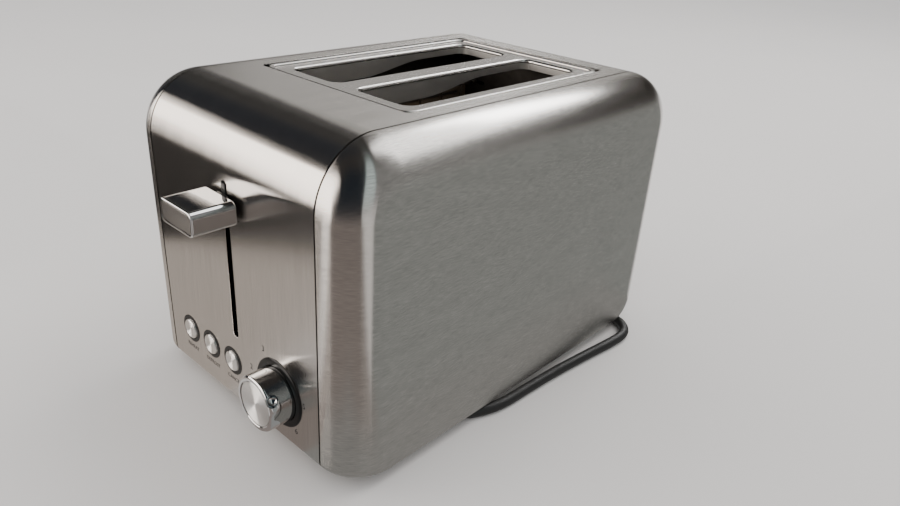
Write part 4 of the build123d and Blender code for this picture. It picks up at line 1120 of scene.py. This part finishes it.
def words(name, items, height, finish):
    """Printed words as one thin mesh on the front. Items are a text and its middle in X and Z."""
    joined = bmesh.new()
    ink_depth = 0.03 * MM
    capital = 0.72
    for text, x, z in items:
        curve = bpy.data.curves.new(name, "FONT")
        curve.body = text
        curve.size = height / capital
        curve.align_x = "CENTER"
        curve.align_y = "CENTER"
        curve.extrude = ink_depth
        curve.resolution_u = 3
        written = bpy.data.objects.new(name, curve)
        bpy.context.scene.collection.objects.link(written)
        bpy.context.view_layer.update()
        flat = bpy.data.meshes.new_from_object(written.evaluated_get(bpy.context.evaluated_depsgraph_get()))
        stand = Matrix.Translation((x, front - ink_depth, z)) @ Matrix.Rotation(math.radians(90), 4, "X")
        flat.transform(stand)
        joined.from_mesh(flat)
        bpy.data.objects.remove(written)
    bmesh.ops.remove_doubles(joined, verts=joined.verts, dist=FINE_MERGE)
    bmesh.ops.recalc_face_normals(joined, faces=joined.faces)
    piece = finished(name, joined)
    piece.modifiers.clear()
    return keep(piece, "housing", finish)


class TOASTER_OT_print(bpy.types.Operator):
    """Print the words under the buttons and the figures round the dial"""

    bl_idname = "toaster.print"
    bl_label = "Printed marks"

    def execute(self, context):
        controls = context.scene.toaster_controls
        ink = finishes()["ink"]
        places, height, _ = button_row()
        items = [(text, x, height - controls.word_drop)
                 for text, x in zip(("REHEAT", "DEFROST", "CANCEL"), places)]
        words("button_words", items, controls.word_height, ink)
        dial_x, z, _ = dial_circle()
        x = dial_x - controls.figure_shift
        figures = []
        for n in range(6):
            turn = (n - 2.5) * controls.dial_step
            figures.append((str(n + 1), x + controls.figure_circle * math.sin(turn),
                            z + controls.figure_circle * math.cos(turn)))
        words("dial_figures", figures, controls.figure_height, ink)
        return {"FINISHED"}


# Repeated parts, made with geometry nodes


def tree_with(name, inputs):
    """Empty geometry tree with named inputs, given as names and their socket types."""
    tree = bpy.data.node_groups.new(name, "GeometryNodeTree")
    tree.interface.new_socket("Geometry", in_out="INPUT", socket_type="NodeSocketGeometry")
    for label, kind in inputs.items():
        tree.interface.new_socket(label, in_out="INPUT", socket_type=kind)
    tree.interface.new_socket("Geometry", in_out="OUTPUT", socket_type="NodeSocketGeometry")
    return tree


def baked(name, tree, points, values):
    """Mesh object that a geometry tree makes of bare points, with its inputs set by name."""
    base = bpy.data.meshes.new(name)
    base.from_pydata(points, [], [])
    carrier = bpy.data.objects.new(name + "_carrier", base)
    bpy.context.scene.collection.objects.link(carrier)
    modifier = carrier.modifiers.new(name, "NODES")
    modifier.node_group = tree
    for item in tree.interface.items_tree:
        if item.item_type == "SOCKET" and item.in_out == "INPUT" and item.name in values:
            modifier[item.identifier] = values[item.name]
    bpy.context.view_layer.update()
    mesh = bpy.data.meshes.new_from_object(carrier.evaluated_get(bpy.context.evaluated_depsgraph_get()))
    bpy.data.objects.remove(carrier)
    mesh.name = name
    piece = bpy.data.objects.new(name, mesh)
    bpy.context.scene.collection.objects.link(piece)
    return piece


def cage_tree():
    """A row of upright wires between a lower and an upper rail."""
    number, whole = "NodeSocketFloat", "NodeSocketInt"
    tree = tree_with("guide_cage", {"Place": number, "Low": number, "High": number, "Low Start": number,
                                    "High Start": number, "End": number, "First": number, "Pitch": number,
                                    "Count": whole, "Rail": number, "Wire": number,
                                    "Finish": "NodeSocketMaterial"})
    given = add(tree, "NodeGroupInput").outputs
    tubes = []
    for height, start in (("Low", "Low Start"), ("High", "High Start")):
        level = {"X": given["Place"], "Z": given[height]}
        first = add(tree, "ShaderNodeCombineXYZ", {**level, "Y": given[start]})
        last = add(tree, "ShaderNodeCombineXYZ", {**level, "Y": given["End"]})
        rail = add(tree, "GeometryNodeCurvePrimitiveLine", {"Start": first.outputs[0],
                                                            "End": last.outputs[0]})
        section = add(tree, "GeometryNodeCurvePrimitiveCircle", {"Resolution": 16, "Radius": given["Rail"]})
        tube = add(tree, "GeometryNodeCurveToMesh", {"Curve": rail.outputs[0], "Fill Caps": True,
                                                     "Profile Curve": section.outputs[0]})
        tubes.append(tube.outputs[0])
    foot = add(tree, "ShaderNodeCombineXYZ", {"X": given["Place"], "Y": given["First"], "Z": given["Low"]})
    head = add(tree, "ShaderNodeCombineXYZ", {"Z": given["High"]})
    base = add(tree, "ShaderNodeCombineXYZ", {"Z": given["Low"]})
    rise = add(tree, "ShaderNodeVectorMath", {0: head.outputs[0], 1: base.outputs[0]}, operation="SUBTRACT")
    step = add(tree, "ShaderNodeCombineXYZ", {"Y": given["Pitch"]})
    places = add(tree, "GeometryNodeMeshLine", {"Count": given["Count"], "Start Location": foot.outputs[0],
                                                "Offset": step.outputs[0]})
    wire = add(tree, "GeometryNodeCurvePrimitiveLine", {"End": rise.outputs[0]})
    section = add(tree, "GeometryNodeCurvePrimitiveCircle", {"Resolution": 12, "Radius": given["Wire"]})
    upright_wire = add(tree, "GeometryNodeCurveToMesh", {"Curve": wire.outputs[0],
                                                         "Profile Curve": section.outputs[0]})
    row = add(tree, "GeometryNodeInstanceOnPoints", {"Points": places.outputs[0],
                                                     "Instance": upright_wire.outputs[0]})
    joined = add(tree, "GeometryNodeJoinGeometry")
    for tube in tubes + [row.outputs[0]]:
        tree.links.new(tube, joined.inputs[0])
    real = add(tree, "GeometryNodeRealizeInstances", {"Geometry": joined.outputs[0]})
    smooth = add(tree, "GeometryNodeSetShadeSmooth", {"Geometry": real.outputs[0]})
    coated = add(tree, "GeometryNodeSetMaterial", {"Geometry": smooth.outputs[0],
                                                   "Material": given["Finish"]})
    out = add(tree, "NodeGroupOutput")
    tree.links.new(coated.outputs[0], out.inputs[0])
    return tree


def scatter_tree():
    """One part repeated on every point."""
    tree = tree_with("repeated_part", {"Part": "NodeSocketObject", "Finish": "NodeSocketMaterial"})
    given = add(tree, "NodeGroupInput").outputs
    part = add(tree, "GeometryNodeObjectInfo", {"Object": given["Part"]})
    spots = add(tree, "GeometryNodeMeshToPoints", {"Mesh": given["Geometry"]})
    row = add(tree, "GeometryNodeInstanceOnPoints", {"Points": spots.outputs[0],
                                                     "Instance": part.outputs["Geometry"]})
    real = add(tree, "GeometryNodeRealizeInstances", {"Geometry": row.outputs[0]})
    coated = add(tree, "GeometryNodeSetMaterial", {"Geometry": real.outputs[0], "Material": given["Finish"]})
    out = add(tree, "NodeGroupOutput")
    tree.links.new(coated.outputs[0], out.inputs[0])
    return tree


def front_of_short_rail(node, low, high):
    """Front end of the cage's rail that isn't held by a bar."""
    half = (low.z + high.z) / 2
    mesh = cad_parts[node].data
    lower = min(v.co.y for v in mesh.vertices if v.co.z < half)
    upper = min(v.co.y for v in mesh.vertices if v.co.z > half)
    return max(lower, upper)


class TOASTER_OT_oven(bpy.types.Operator):
    """Dress the oven: end plates, shields, heaters, racks, guide cages and crumb tray"""

    bl_idname = "toaster.oven"
    bl_label = "Oven"

    def execute(self, context):
        metal = finishes()
        # Sheets deep in the oven take the finish darkened for heat tint and as painted shade
        for node in ("front_end_plate", "rear_end_plate", "heat_shield_right", "heat_shield_left",
                     "tray_rails", "rod_bracket"):
            dressed(node, metal["heat_tint_and_shade"])
        for node in ("heater_card_right", "heater_card_centre", "heater_card_left"):
            dressed(node, metal["mica"])
        dressed("heater_ribbons", metal["ribbon"])
        # The racks take the same finish, partly painted shade
        for side in ("right", "left"):
            refined("bread_rack_" + side, metal["heat_tint_and_shade"], "lever_carriage", 0.25 * MM)
        tree = cage_tree()
        bodies = {"far_left": "guides_rightward", "near_right": "guides_rightward",
                  "near_left": "guides_leftward", "far_right": "guides_leftward"}
        wires = 8
        pitch = 21 * MM
        first = trim_middle - (wires - 1) / 2 * pitch
        for name, body in bodies.items():
            node = "guide_cage_" + name
            low, high = corners(node)
            rail = (high.x - low.x) / 2
            behind = front_of_short_rail(node, low, high)
            starts = {"Low Start": low.y, "High Start": behind}
            if body == "guides_rightward":
                starts = {"Low Start": behind, "High Start": low.y}
            values = {"Place": (low.x + high.x) / 2, "Low": low.z + rail, "High": high.z - rail, **starts,
                      "End": high.y, "First": first, "Pitch": pitch, "Count": wires, "Rail": rail,
                      "Wire": 0.8 * MM, "Finish": metal["wire"]}
            cage = baked("guide_wires_" + name, tree, [(0, 0, 0)], values)
            keep(cage, body, metal["wire"], node)
        refined("crumb_tray", metal["zinc"], "tray", 0.3 * MM)
        return {"FINISHED"}


class TOASTER_OT_works(bpy.types.Operator):
    """Dress the carriage, magnet, spring, control board and wiring parts inside"""

    bl_idname = "toaster.works"
    bl_label = "Works"

    def execute(self, context):
        metal = finishes()
        plain = {"carriage": "zinc", "armature": "iron", "guide_rod": "wire", "magnet_yoke": "iron",
                 "magnet_coil": "winding", "control_board": "board", "board_posts": "plastic",
                 "chassis_screws": "screw", "push_switches": "pale", "potentiometer": "pale",
                 "terminal_block": "pale", "guide_bar_upper": "zinc", "guide_bar_lower": "zinc"}
        for node, name in plain.items():
            dressed(node, metal[name])
        spring = refined("lift_spring", metal["spring"], "housing")
        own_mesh(spring)
        return {"FINISHED"}


# Height of a screw's head
SCREW_HEAD = 2.0 * MM


def screw_shape():
    """Pan-head screw with its shank pointing up from the origin and its head below, with a cross recess."""
    head, shank, high, reach = 2.9 * MM, 1.4 * MM, SCREW_HEAD, 12 * MM
    recess = (2.6 * MM, 0.6 * MM, 1.6 * MM)
    profile = [(-high, 0.0), (-high, head * 0.55), (-high * 0.85, head * 0.8), (-high * 0.5, head * 0.96),
               (0.0, head), (0.0, shank), (reach, shank), (reach, 0.0)]
    body = turned("screw_shape", profile, (0, 0, 0), (0, 0, 1), 32)
    body.modifiers.clear()
    for turn in (0.0, math.pi / 2):
        arm = bmesh.new()
        bmesh.ops.create_cube(arm, size=1.0)
        placed = Matrix.Translation((0, 0, -high)) @ Matrix.Rotation(turn, 4, "Z")
        bmesh.ops.transform(arm, matrix=placed @ Matrix.Diagonal((*recess, 1.0)), verts=arm.verts)
        cutter = finished("recess", arm)
        cutter.modifiers.clear()
        cut = body.modifiers.new("recess", "BOOLEAN")
        cut.operation = "DIFFERENCE"
        cut.solver = "EXACT"
        cut.object = cutter
        bpy.context.view_layer.update()
        mesh = bpy.data.meshes.new_from_object(body.evaluated_get(bpy.context.evaluated_depsgraph_get()))
        body.modifiers.clear()
        body.data = mesh
        bpy.data.objects.remove(cutter)
    body.data.shade_smooth()
    body.data.set_sharp_from_angle(angle=math.radians(SHARP))
    return body


def screw_heads(node):
    """Seats of the screws in a CAD node of upright screws, in the order of their places: the middle of each
    solid, a head's height up."""
    work = bmesh.new()
    work.from_mesh(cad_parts[node].data)
    bmesh.ops.remove_doubles(work, verts=work.verts, dist=MERGE)
    left = set(work.verts)
    seats = []
    while left:
        stack = [left.pop()]
        group = [stack[0]]
        while stack:
            for edge in stack.pop().link_edges:
                for vertex in edge.verts:
                    if vertex in left:
                        left.remove(vertex)
                        group.append(vertex)
                        stack.append(vertex)
        xs, ys, zs = ([v.co[i] for v in group] for i in range(3))
        seats.append(((min(xs) + max(xs)) / 2, (min(ys) + max(ys)) / 2, min(zs) + SCREW_HEAD))
    work.free()
    return sorted(seats)


class TOASTER_OT_base(bpy.types.Operator):
    """Dress the moulded base and seam frames, and build the feet, screws and tray pull"""

    bl_idname = "toaster.base"
    bl_label = "Base"

    def execute(self, context):
        metal = finishes()
        for node in ("base_pan", "seam_frame_right", "seam_frame_left"):
            dressed(node, metal["plastic"])
        refined("tray_pull", metal["plastic"], "tray", 0.35 * MM)
        tree = scatter_tree()
        low, high = corners("feet")
        reach = 10 * MM
        places = [(sx * (high.x - reach), middle + sy * ((high.y - low.y) / 2 - reach), 0.0)
                  for sx in (-1, 1) for sy in (-1, 1)]
        tall = high.z
        foot_profile = [(tall, 1.7 * MM), (3.0 * MM, 1.7 * MM), (3.0 * MM, 3.4 * MM), (0.3 * MM, 3.4 * MM),
                        (0.0, 3.8 * MM), (0.0, reach - 1.6 * MM), (0.25 * MM, reach - 0.8 * MM),
                        (1.0 * MM, reach - 0.15 * MM), (1.8 * MM, reach), (tall - 2.0 * MM, reach),
                        (tall - 1.6 * MM, reach - 0.5 * MM), (tall - 1.2 * MM, reach), (tall, reach)]
        foot = open_ring("foot_shape", foot_profile, (0, 0, 0), (0, 0, 1), 64)
        feet = baked("rubber_feet", tree, places, {"Part": foot, "Finish": metal["rubber"]})
        bpy.data.objects.remove(foot)
        keep(feet, "housing", metal["rubber"], "feet")
        screw = screw_shape()
        screws = baked("case_screw_set", tree, screw_heads("case_screws"),
                       {"Part": screw, "Finish": metal["screw"]})
        bpy.data.objects.remove(screw)
        keep(screws, "housing", metal["screw"], "case_screws")
        return {"FINISHED"}


# Mains cord


# Corners of the cord's route, as x, y from the middle of the body, and height, in millimetres
CORD_ROUTE = [
    (-28.0, 111.2, 15.5), (-10.0, 111.2, 15.5), (11.0, 111.6, 9.2), (32.0, 112.8, 3.5),
    (57.0, 115.0, 3.5), (79.0, 117.4, 3.5), (92.0, 117.6, 3.5), (101.0, 112.3, 3.5),
    (105.7, 102.8, 3.5), (104.8, 86.0, 3.5), (101.8, 60.0, 3.5), (98.8, 28.0, 3.5),
    (97.5, -2.0, 3.5), (96.8, -25.0, 3.5), (89.5, -44.0, 3.5), (74.5, -58.5, 3.5),
    (54.0, -68.5, 3.5), (28.0, -75.5, 3.5), (-2.0, -77.5, 3.5), (-30.0, -73.5, 3.5),
    (-52.0, -60.5, 3.5), (-65.5, -40.0, 3.5), (-70.0, -14.0, 3.5), (-69.5, 16.0, 3.5),
    (-62.5, 42.0, 3.5), (-47.0, 63.0, 3.5), (-24.0, 75.0, 3.5), (4.0, 78.5, 3.5),
    (31.0, 72.5, 3.5), (51.0, 57.0, 3.5), (62.0, 34.0, 3.5), (64.5, 7.0, 3.5),
    (60.0, -19.0, 3.5), (48.0, -41.0, 3.5), (28.5, -55.5, 3.5), (6.0, -59.5, 4.0),
    (-13.0, -49.5, 6.8), (-22.0, -31.5, 9.7), (-22.0, -10.0, 9.7)]


def plug_piece(finish):
    """Moulded plug body: a rounded block that tapers into its ribbed neck."""
    low, high = corners("plug_body")
    centre = ((low.x + high.x) / 2, (low.z + high.z) / 2)
    width, height = high.x - low.x, high.z - low.z
    neck = 18 * MM
    start = low.y + neck
    rings = []
    for y, share, corner in ((high.y, 0.90, 0.42), (high.y - 0.5 * MM, 0.96, 0.42),
                             (high.y - 1.6 * MM, 1.0, 0.42), (high.y - 12 * MM, 0.985, 0.42),
                             (start + 7 * MM, 0.93, 0.44), (start + 3 * MM, 0.80, 0.46),
                             (start + 0.8 * MM, 0.66, 0.48)):
        reach = height * share * corner
        rings.append(upright(rounded(width * share, height * share, reach, centre, 0.0, 10), y))
    count = len(rings[0])
    turns = [math.radians(360 * (k / count) + 4) for k in range(count)]

    def collar(radius, y):
        """Round section of the neck."""
        return [(centre[0] + radius * math.cos(t), y, centre[1] + radius * math.sin(t)) for t in turns]

    ribs = 5
    groove = 0.9 * MM
    for n in range(ribs):
        y = start - n * (neck - 2 * MM) / ribs
        radius = (6.2 - 1.7 * n / ribs) * MM
        rings += [collar(radius, y), collar(radius, y - 1.5 * MM), collar(radius - groove, y - 1.9 * MM),
                  collar(radius - groove, y - 2.9 * MM)]
    rings.append(collar(4.1 * MM, low.y))
    piece = loft("moulded_plug", rings, sharp=40.0)
    return keep(piece, "housing", finish, "plug_body")


def relief_piece(finish):
    """Tapered strain relief with grooves that let it bend."""
    low, high = corners("strain_relief")
    centre = (low.x, (low.y + high.y) / 2, (low.z + high.z) / 2)
    total = high.x - low.x
    collar = 7.9 * MM
    profile = [(0.0, 0.0), (0.0, 5.0 * MM), (0.3 * MM, 5.3 * MM), (2.4 * MM, 5.3 * MM), (2.4 * MM, 4.4 * MM),
               (5.4 * MM, 4.4 * MM), (5.4 * MM, 5.5 * MM), (5.7 * MM, 5.8 * MM), (collar, 5.8 * MM)]
    grooves = 6
    pitch = (total - collar - 2.0 * MM) / grooves
    for n in range(grooves):
        at = collar + n * pitch
        radius = (5.2 - 1.1 * n / grooves) * MM
        profile += [(at + 0.1 * MM, radius), (at + pitch * 0.60, radius - 0.1 * MM),
                    (at + pitch * 0.68, radius - 0.9 * MM), (at + pitch * 0.95, radius - 0.9 * MM)]
    profile += [(total - 1.8 * MM, 4.1 * MM), (total - 0.3 * MM, 4.05 * MM), (total, 3.8 * MM), (total, 0.0)]
    piece = turned("cord_relief", profile, centre, (1, 0, 0), 48, sharp=30.0)
    return keep(piece, "housing", finish, "strain_relief")


class TOASTER_OT_cord(bpy.types.Operator):
    """Lay the mains cord, its strain relief and its plug"""

    bl_idname = "toaster.cord"
    bl_label = "Mains cord"

    def execute(self, context):
        metal = finishes()
        diameter = 6.8 * MM
        curve = bpy.data.curves.new("mains_cord", "CURVE")
        curve.dimensions = "3D"
        curve.bevel_depth = diameter / 2
        curve.bevel_resolution = 6
        curve.resolution_u = 10
        curve.use_fill_caps = True
        line = curve.splines.new("NURBS")
        points = [(x * MM, middle + y * MM, z * MM) for x, y, z in CORD_ROUTE]
        line.points.add(len(points) - 1)
        for spot, place in zip(line.points, points):
            spot.co = (*place, 1.0)
        line.order_u = 3
        line.use_endpoint_u = True
        cord = bpy.data.objects.new("mains_cord", curve)
        keep(cord, "housing", metal["sheath"], "power_cord")
        plug = plug_piece(metal["rubber"])
        pins = refined("plug_pins", metal["brass"], "housing", 0.3 * MM)
        relief_piece(metal["rubber"])
        return {"FINISHED"}


# Floor, light and camera


# Painted reflections of a room that only glossy rays see: middle and half of its spread in azimuth, then in
# elevation, softness, all in degrees, and then colour and strength. Azimuth runs from +X over +Y.
ROOM = {
    "right_wall": (5, 48, 20, 34, 6, "8E8E8D", 1.0),
    "cool_wall": (343, 13, 40, 36, 3, "C2D2D2", 1.2),
    "left_wall": (129, 21, 12, 26, 4, "C8C5C1", 0.9),
    "ceiling_highlight": (86, 36, 58, 23, 3, "FFFFFF", 3.2),
    "ceiling_highlight_edge": (101, 16, 38, 4, 1, "FFFFFF", 14.0),
    "far_wall": (72, 44, -14, 20, 5, "7E7D7B", 1.0),
    "brown_corner": (166, 15, 25, 36, 4, "403E3C", 1.0),
    "dark_door": (193, 15, 35, 42, 3, "1F242C", 1.0)}


def lamp(name, place, target, size, power, tint):
    """Soft rectangular light aimed at a point. The steel mirrors the room and not the lamp."""
    light = bpy.data.lights.new(name, "AREA")
    light.shape = "RECTANGLE"
    light.size, light.size_y = size
    light.energy = power
    light.color = linear(tint)[:3]
    lit = bpy.data.objects.new(name, light)
    lit.location = place
    lit.rotation_euler = (Vector(target) - Vector(place)).to_track_quat("-Z", "Y").to_euler()
    lit.visible_glossy = False
    bpy.context.scene.collection.objects.link(lit)


def around(azimuth, distance, height):
    """Point of the studio at an azimuth in degrees, a distance from the toaster and a height."""
    turn = math.radians(azimuth)
    return (distance * math.cos(turn), distance * math.sin(turn), height)


def glowing(code, strength):
    """Board that glows evenly in one colour, a painted reflection and no lamp."""

    def build(tree, shader):
        shader.inputs["Base Color"].default_value = (0.0, 0.0, 0.0, 1.0)
        shader.inputs["Roughness"].default_value = 1.0
        shader.inputs["Specular IOR Level"].default_value = 0.0
        shader.inputs["Emission Color"].default_value = linear(code)
        shader.inputs["Emission Strength"].default_value = strength

    return build


def board(name, rows, code, strength):
    """Studio board between two rows of points: a painted reflection that only reflections show and that
    lights nothing.
    """
    first, second = rows
    count = len(first)
    mesh = bpy.data.meshes.new(name)
    faces = [(n, n + 1, count + n + 1, count + n) for n in range(count - 1)]
    mesh.from_pydata(first + second, [], faces)
    mesh.materials.append(material("studio_" + name, "", glowing(code, strength)))
    panel = bpy.data.objects.new(name, mesh)
    bpy.context.scene.collection.objects.link(panel)
    panel.visible_camera = False
    panel.visible_diffuse = False
    panel.visible_shadow = False


def floor_paint(code):
    """Pale matt table cover with a faint unevenness."""
    # Clouds a third of a metre wide
    clouds_per_metre = (3.0, 3.0, 3.0)

    def build(tree, shader):
        cloud = add(tree, "ShaderNodeTexNoise", {"Vector": mapped(tree, clouds_per_metre), "Scale": 1.0,
                                                 "Detail": 6.0})
        mottled(tree, shader, cloud.outputs[0], code, 0.97, 1.03)
        shader.inputs["Roughness"].default_value = 0.75
        shader.inputs["Specular IOR Level"].default_value = 0.2

    return build


def inside(tree, angle, middle_angle, half, soft):
    """1 where an angle is within half of a middle angle, falling softly to 0 outside."""
    off = add(tree, "ShaderNodeMath", {0: angle, 1: math.radians(middle_angle)}, operation="SUBTRACT")
    wrapped = add(tree, "ShaderNodeMath", {0: off.outputs[0], 1: math.pi, 2: -math.pi}, operation="WRAP")
    size = add(tree, "ShaderNodeMath", {0: wrapped.outputs[0]}, operation="ABSOLUTE")
    ramp = add(tree, "ShaderNodeMapRange", {"Value": size.outputs[0], "From Min": math.radians(half + soft),
                                            "From Max": math.radians(half - soft)},
               interpolation_type="SMOOTHSTEP")
    return ramp.outputs[0]


def room(ambient):
    """World of even light, where glossy rays see instead painted reflections of the room's walls and
    highlights.
    """
    world = bpy.data.worlds.new("studio")
    world.use_nodes = True
    tree = world.node_tree
    tree.nodes.clear()
    view = add(tree, "ShaderNodeTexCoord").outputs["Generated"]
    way = add(tree, "ShaderNodeSeparateXYZ", {"Vector": view}).outputs
    azimuth = add(tree, "ShaderNodeMath", {0: way["Y"], 1: way["X"]}, operation="ARCTAN2").outputs[0]
    elevation = add(tree, "ShaderNodeMath", {0: way["Z"]}, operation="ARCSINE").outputs[0]
    # Painted reflection of a dark room where no patch lies
    colours = linear("3D3936")
    for middle_a, half_a, middle_e, half_e, soft, code, strength in ROOM.values():
        across = inside(tree, azimuth, middle_a, half_a, soft)
        upwards = inside(tree, elevation, middle_e, half_e, soft)
        shown = add(tree, "ShaderNodeMath", {0: across, 1: upwards}, operation="MULTIPLY").outputs[0]
        lit = [c * strength for c in linear(code)[:3]] + [1.0]
        colours = add(tree, "ShaderNodeMix", {0: shown, 6: colours, 7: lit}, data_type="RGBA").outputs[2]
    # Glossy rays see the painted room, all other rays the even light
    rays = add(tree, "ShaderNodeLightPath").outputs
    mirrored = add(tree, "ShaderNodeBackground", {"Color": colours})
    even = add(tree, "ShaderNodeBackground", {"Color": linear("F4F6FA"), "Strength": ambient})
    both = add(tree, "ShaderNodeMixShader", {0: rays["Is Glossy Ray"], 1: even.outputs[0],
                                             2: mirrored.outputs[0]})
    out = add(tree, "ShaderNodeOutputWorld")
    tree.links.new(both.outputs[0], out.inputs["Surface"])
    bpy.context.scene.world = world


def mirrored_boards():
    """Painted reflections beside the room: a bright window over a dark sill, patches of dark, pale, shaded
    and grey floor, shade beside the body and a dark wall behind the camera.
    """
    window_distance, screen_distance, screen_height = 1.1, 0.9, 1.5
    # Heights of the window's sill and upper rim at each azimuth
    spread = {198: (0.23, 0.60), 214: (0.22, 0.59), 230: (0.03, 0.82), 246: (0.0, 0.97), 271: (0.0, 1.0)}
    floor_line, sill, rim = ([around(a, window_distance, h) for a, h in zip(spread, heights)]
                             for heights in ([0.0] * 5, *zip(*spread.values())))
    # Painted highlight of a window, with a dark painted reflection under it
    board("bright_panel", (sill, rim), "FFF6EE", 5.5)
    board("dark_sill", (floor_line, sill), "262423", 1.0)
    lift = 2 * MM
    # Painted reflections of the floor: darker where it lies in shade, paler close to the body, shaded near
    # the camera
    floor_reflections = {"dark_cloth": (range(180, 263, 16), 0.32, 1.1, "353230"),
              "pale_cloth": (range(180, 263, 16), 0.12, 0.32, "D0C6BD"),
              "brown_cloth": (range(274, 331, 14), 0.1, 0.9, "968C87")}
    for name, (turns, near, far, code) in floor_reflections.items():
        board(name, [[around(a, reach, lift) for a in turns] for reach in (near, far)], code, 1.0)
    # Painted reflection of a greyer floor at the right
    beside = ([(0.1, -0.12, lift), (0.1, 0.02, lift), (0.1, 0.16, lift)],
              [(6.0, 0.4, lift), (4.8, 4.0, lift), (0.8, 6.0, lift)])
    board("grey_cloth", beside, "9A9D9B", 1.0)
    # Painted contact shade beside the body, seen only in reflections
    foot = [[(x, y, 1.2 * lift) for y in (-0.19, 0.17)] for x in (0.05, 0.14)]
    board("foot_shade", foot, "9C9C9A", 1.0)
    # Painted shade behind the camera, seen only in reflections
    screen = [[around(a, screen_distance, h) for a in (275, 293, 311, 330)] for h in (0.0, screen_height)]
    board("dark_screen", screen, "1A232C", 1.0)


def photo_camera(studio):
    """Camera that stands, looks and leans as the one that took the photograph."""
    yaw, pitch, roll = studio.camera_yaw, studio.camera_pitch, studio.camera_roll
    ahead = Vector((-math.sin(yaw) * math.cos(pitch), math.cos(yaw) * math.cos(pitch), -math.sin(pitch)))
    right = Vector((math.cos(yaw), math.sin(yaw), 0))
    above = right.cross(ahead)
    leaned_right = right * math.cos(roll) + above * math.sin(roll)
    leaned_above = above * math.cos(roll) - right * math.sin(roll)
    turn = Matrix((leaned_right, leaned_above, -ahead)).transposed().to_4x4()
    lens = bpy.data.cameras.new("photo_view")
    lens.sensor_width = 36.0
    lens.lens = studio.camera_lens
    lens.clip_start = 0.01
    camera = bpy.data.objects.new("photo_view", lens)
    camera.matrix_world = Matrix.Translation(studio.camera_place) @ turn
    bpy.context.scene.collection.objects.link(camera)
    bpy.context.scene.camera = camera


class TOASTER_OT_studio(bpy.types.Operator):
    """Set the pale floor, the soft light and the camera"""

    bl_idname = "toaster.studio"
    bl_label = "Studio"

    def execute(self, context):
        studio = context.scene.toaster_studio
        reach = 40.0
        mesh = bpy.data.meshes.new("floor")
        mesh.from_pydata([(-reach, -reach, 0), (reach, -reach, 0), (reach, reach, 0), (-reach, reach, 0)], [],
                         [(0, 1, 2, 3)])
        floor = bpy.data.objects.new("floor", mesh)
        context.scene.collection.objects.link(floor)
        mesh.materials.append(material("pale_floor", "", floor_paint(context.scene.toaster_colours.floor)))
        room(studio.ambient)
        lamp("overhead", (0.2, 1.13, 1.64), (0, 0, 0), (1.4, 1.4), studio.overhead, "FFFDFA")
        lamp("window", (-1.1, -1.0, 0.9), (0, 0, 0.1), (1.2, 0.8), studio.window, "FFF8F0")
        mirrored_boards()
        photo_camera(studio)
        return {"FINISHED"}


class TOASTER_PT_panel(bpy.types.Panel):
    """Lists the toaster's sizes and the steps that build it"""

    bl_idname = "TOASTER_PT_panel"
    bl_label = "Toaster"
    bl_space_type = "VIEW_3D"
    bl_region_type = "UI"
    bl_category = "Toaster"

    def draw(self, context):
        for step in STEPS:
            self.layout.operator(step.bl_idname)
        for name, group in GROUPS.items():
            box = self.layout.box()
            box.label(text=group.__name__)
            for key in group.__annotations__:
                box.prop(getattr(context.scene, name), key)


STEPS = (TOASTER_OT_studio, TOASTER_OT_cord, TOASTER_OT_skin, TOASTER_OT_trim, TOASTER_OT_lever,
         TOASTER_OT_buttons, TOASTER_OT_dial, TOASTER_OT_print, TOASTER_OT_oven, TOASTER_OT_works,
         TOASTER_OT_base)


def register():
    """Registers the sizes, the steps and the panel."""
    for name, group in GROUPS.items():
        bpy.utils.register_class(group)
        setattr(bpy.types.Scene, name, bpy.props.PointerProperty(type=group))
    for step in STEPS:
        bpy.utils.register_class(step)
    bpy.utils.register_class(TOASTER_PT_panel)


def unregister():
    """Takes everything out again."""
    bpy.utils.unregister_class(TOASTER_PT_panel)
    for step in reversed(STEPS):
        bpy.utils.unregister_class(step)
    for name, group in GROUPS.items():
        delattr(bpy.types.Scene, name)
        bpy.utils.unregister_class(group)


def main():
    """Builds the whole toaster."""
    register()
    bpy.ops.toaster.studio()
    bpy.ops.toaster.cord()
    bpy.ops.toaster.skin()
    bpy.ops.toaster.trim()
    bpy.ops.toaster.lever()
    bpy.ops.toaster.buttons()
    bpy.ops.toaster.dial()
    bpy.ops.toaster.print()
    bpy.ops.toaster.oven()
    bpy.ops.toaster.works()
    bpy.ops.toaster.base()


if __name__ == "__main__":
    main()
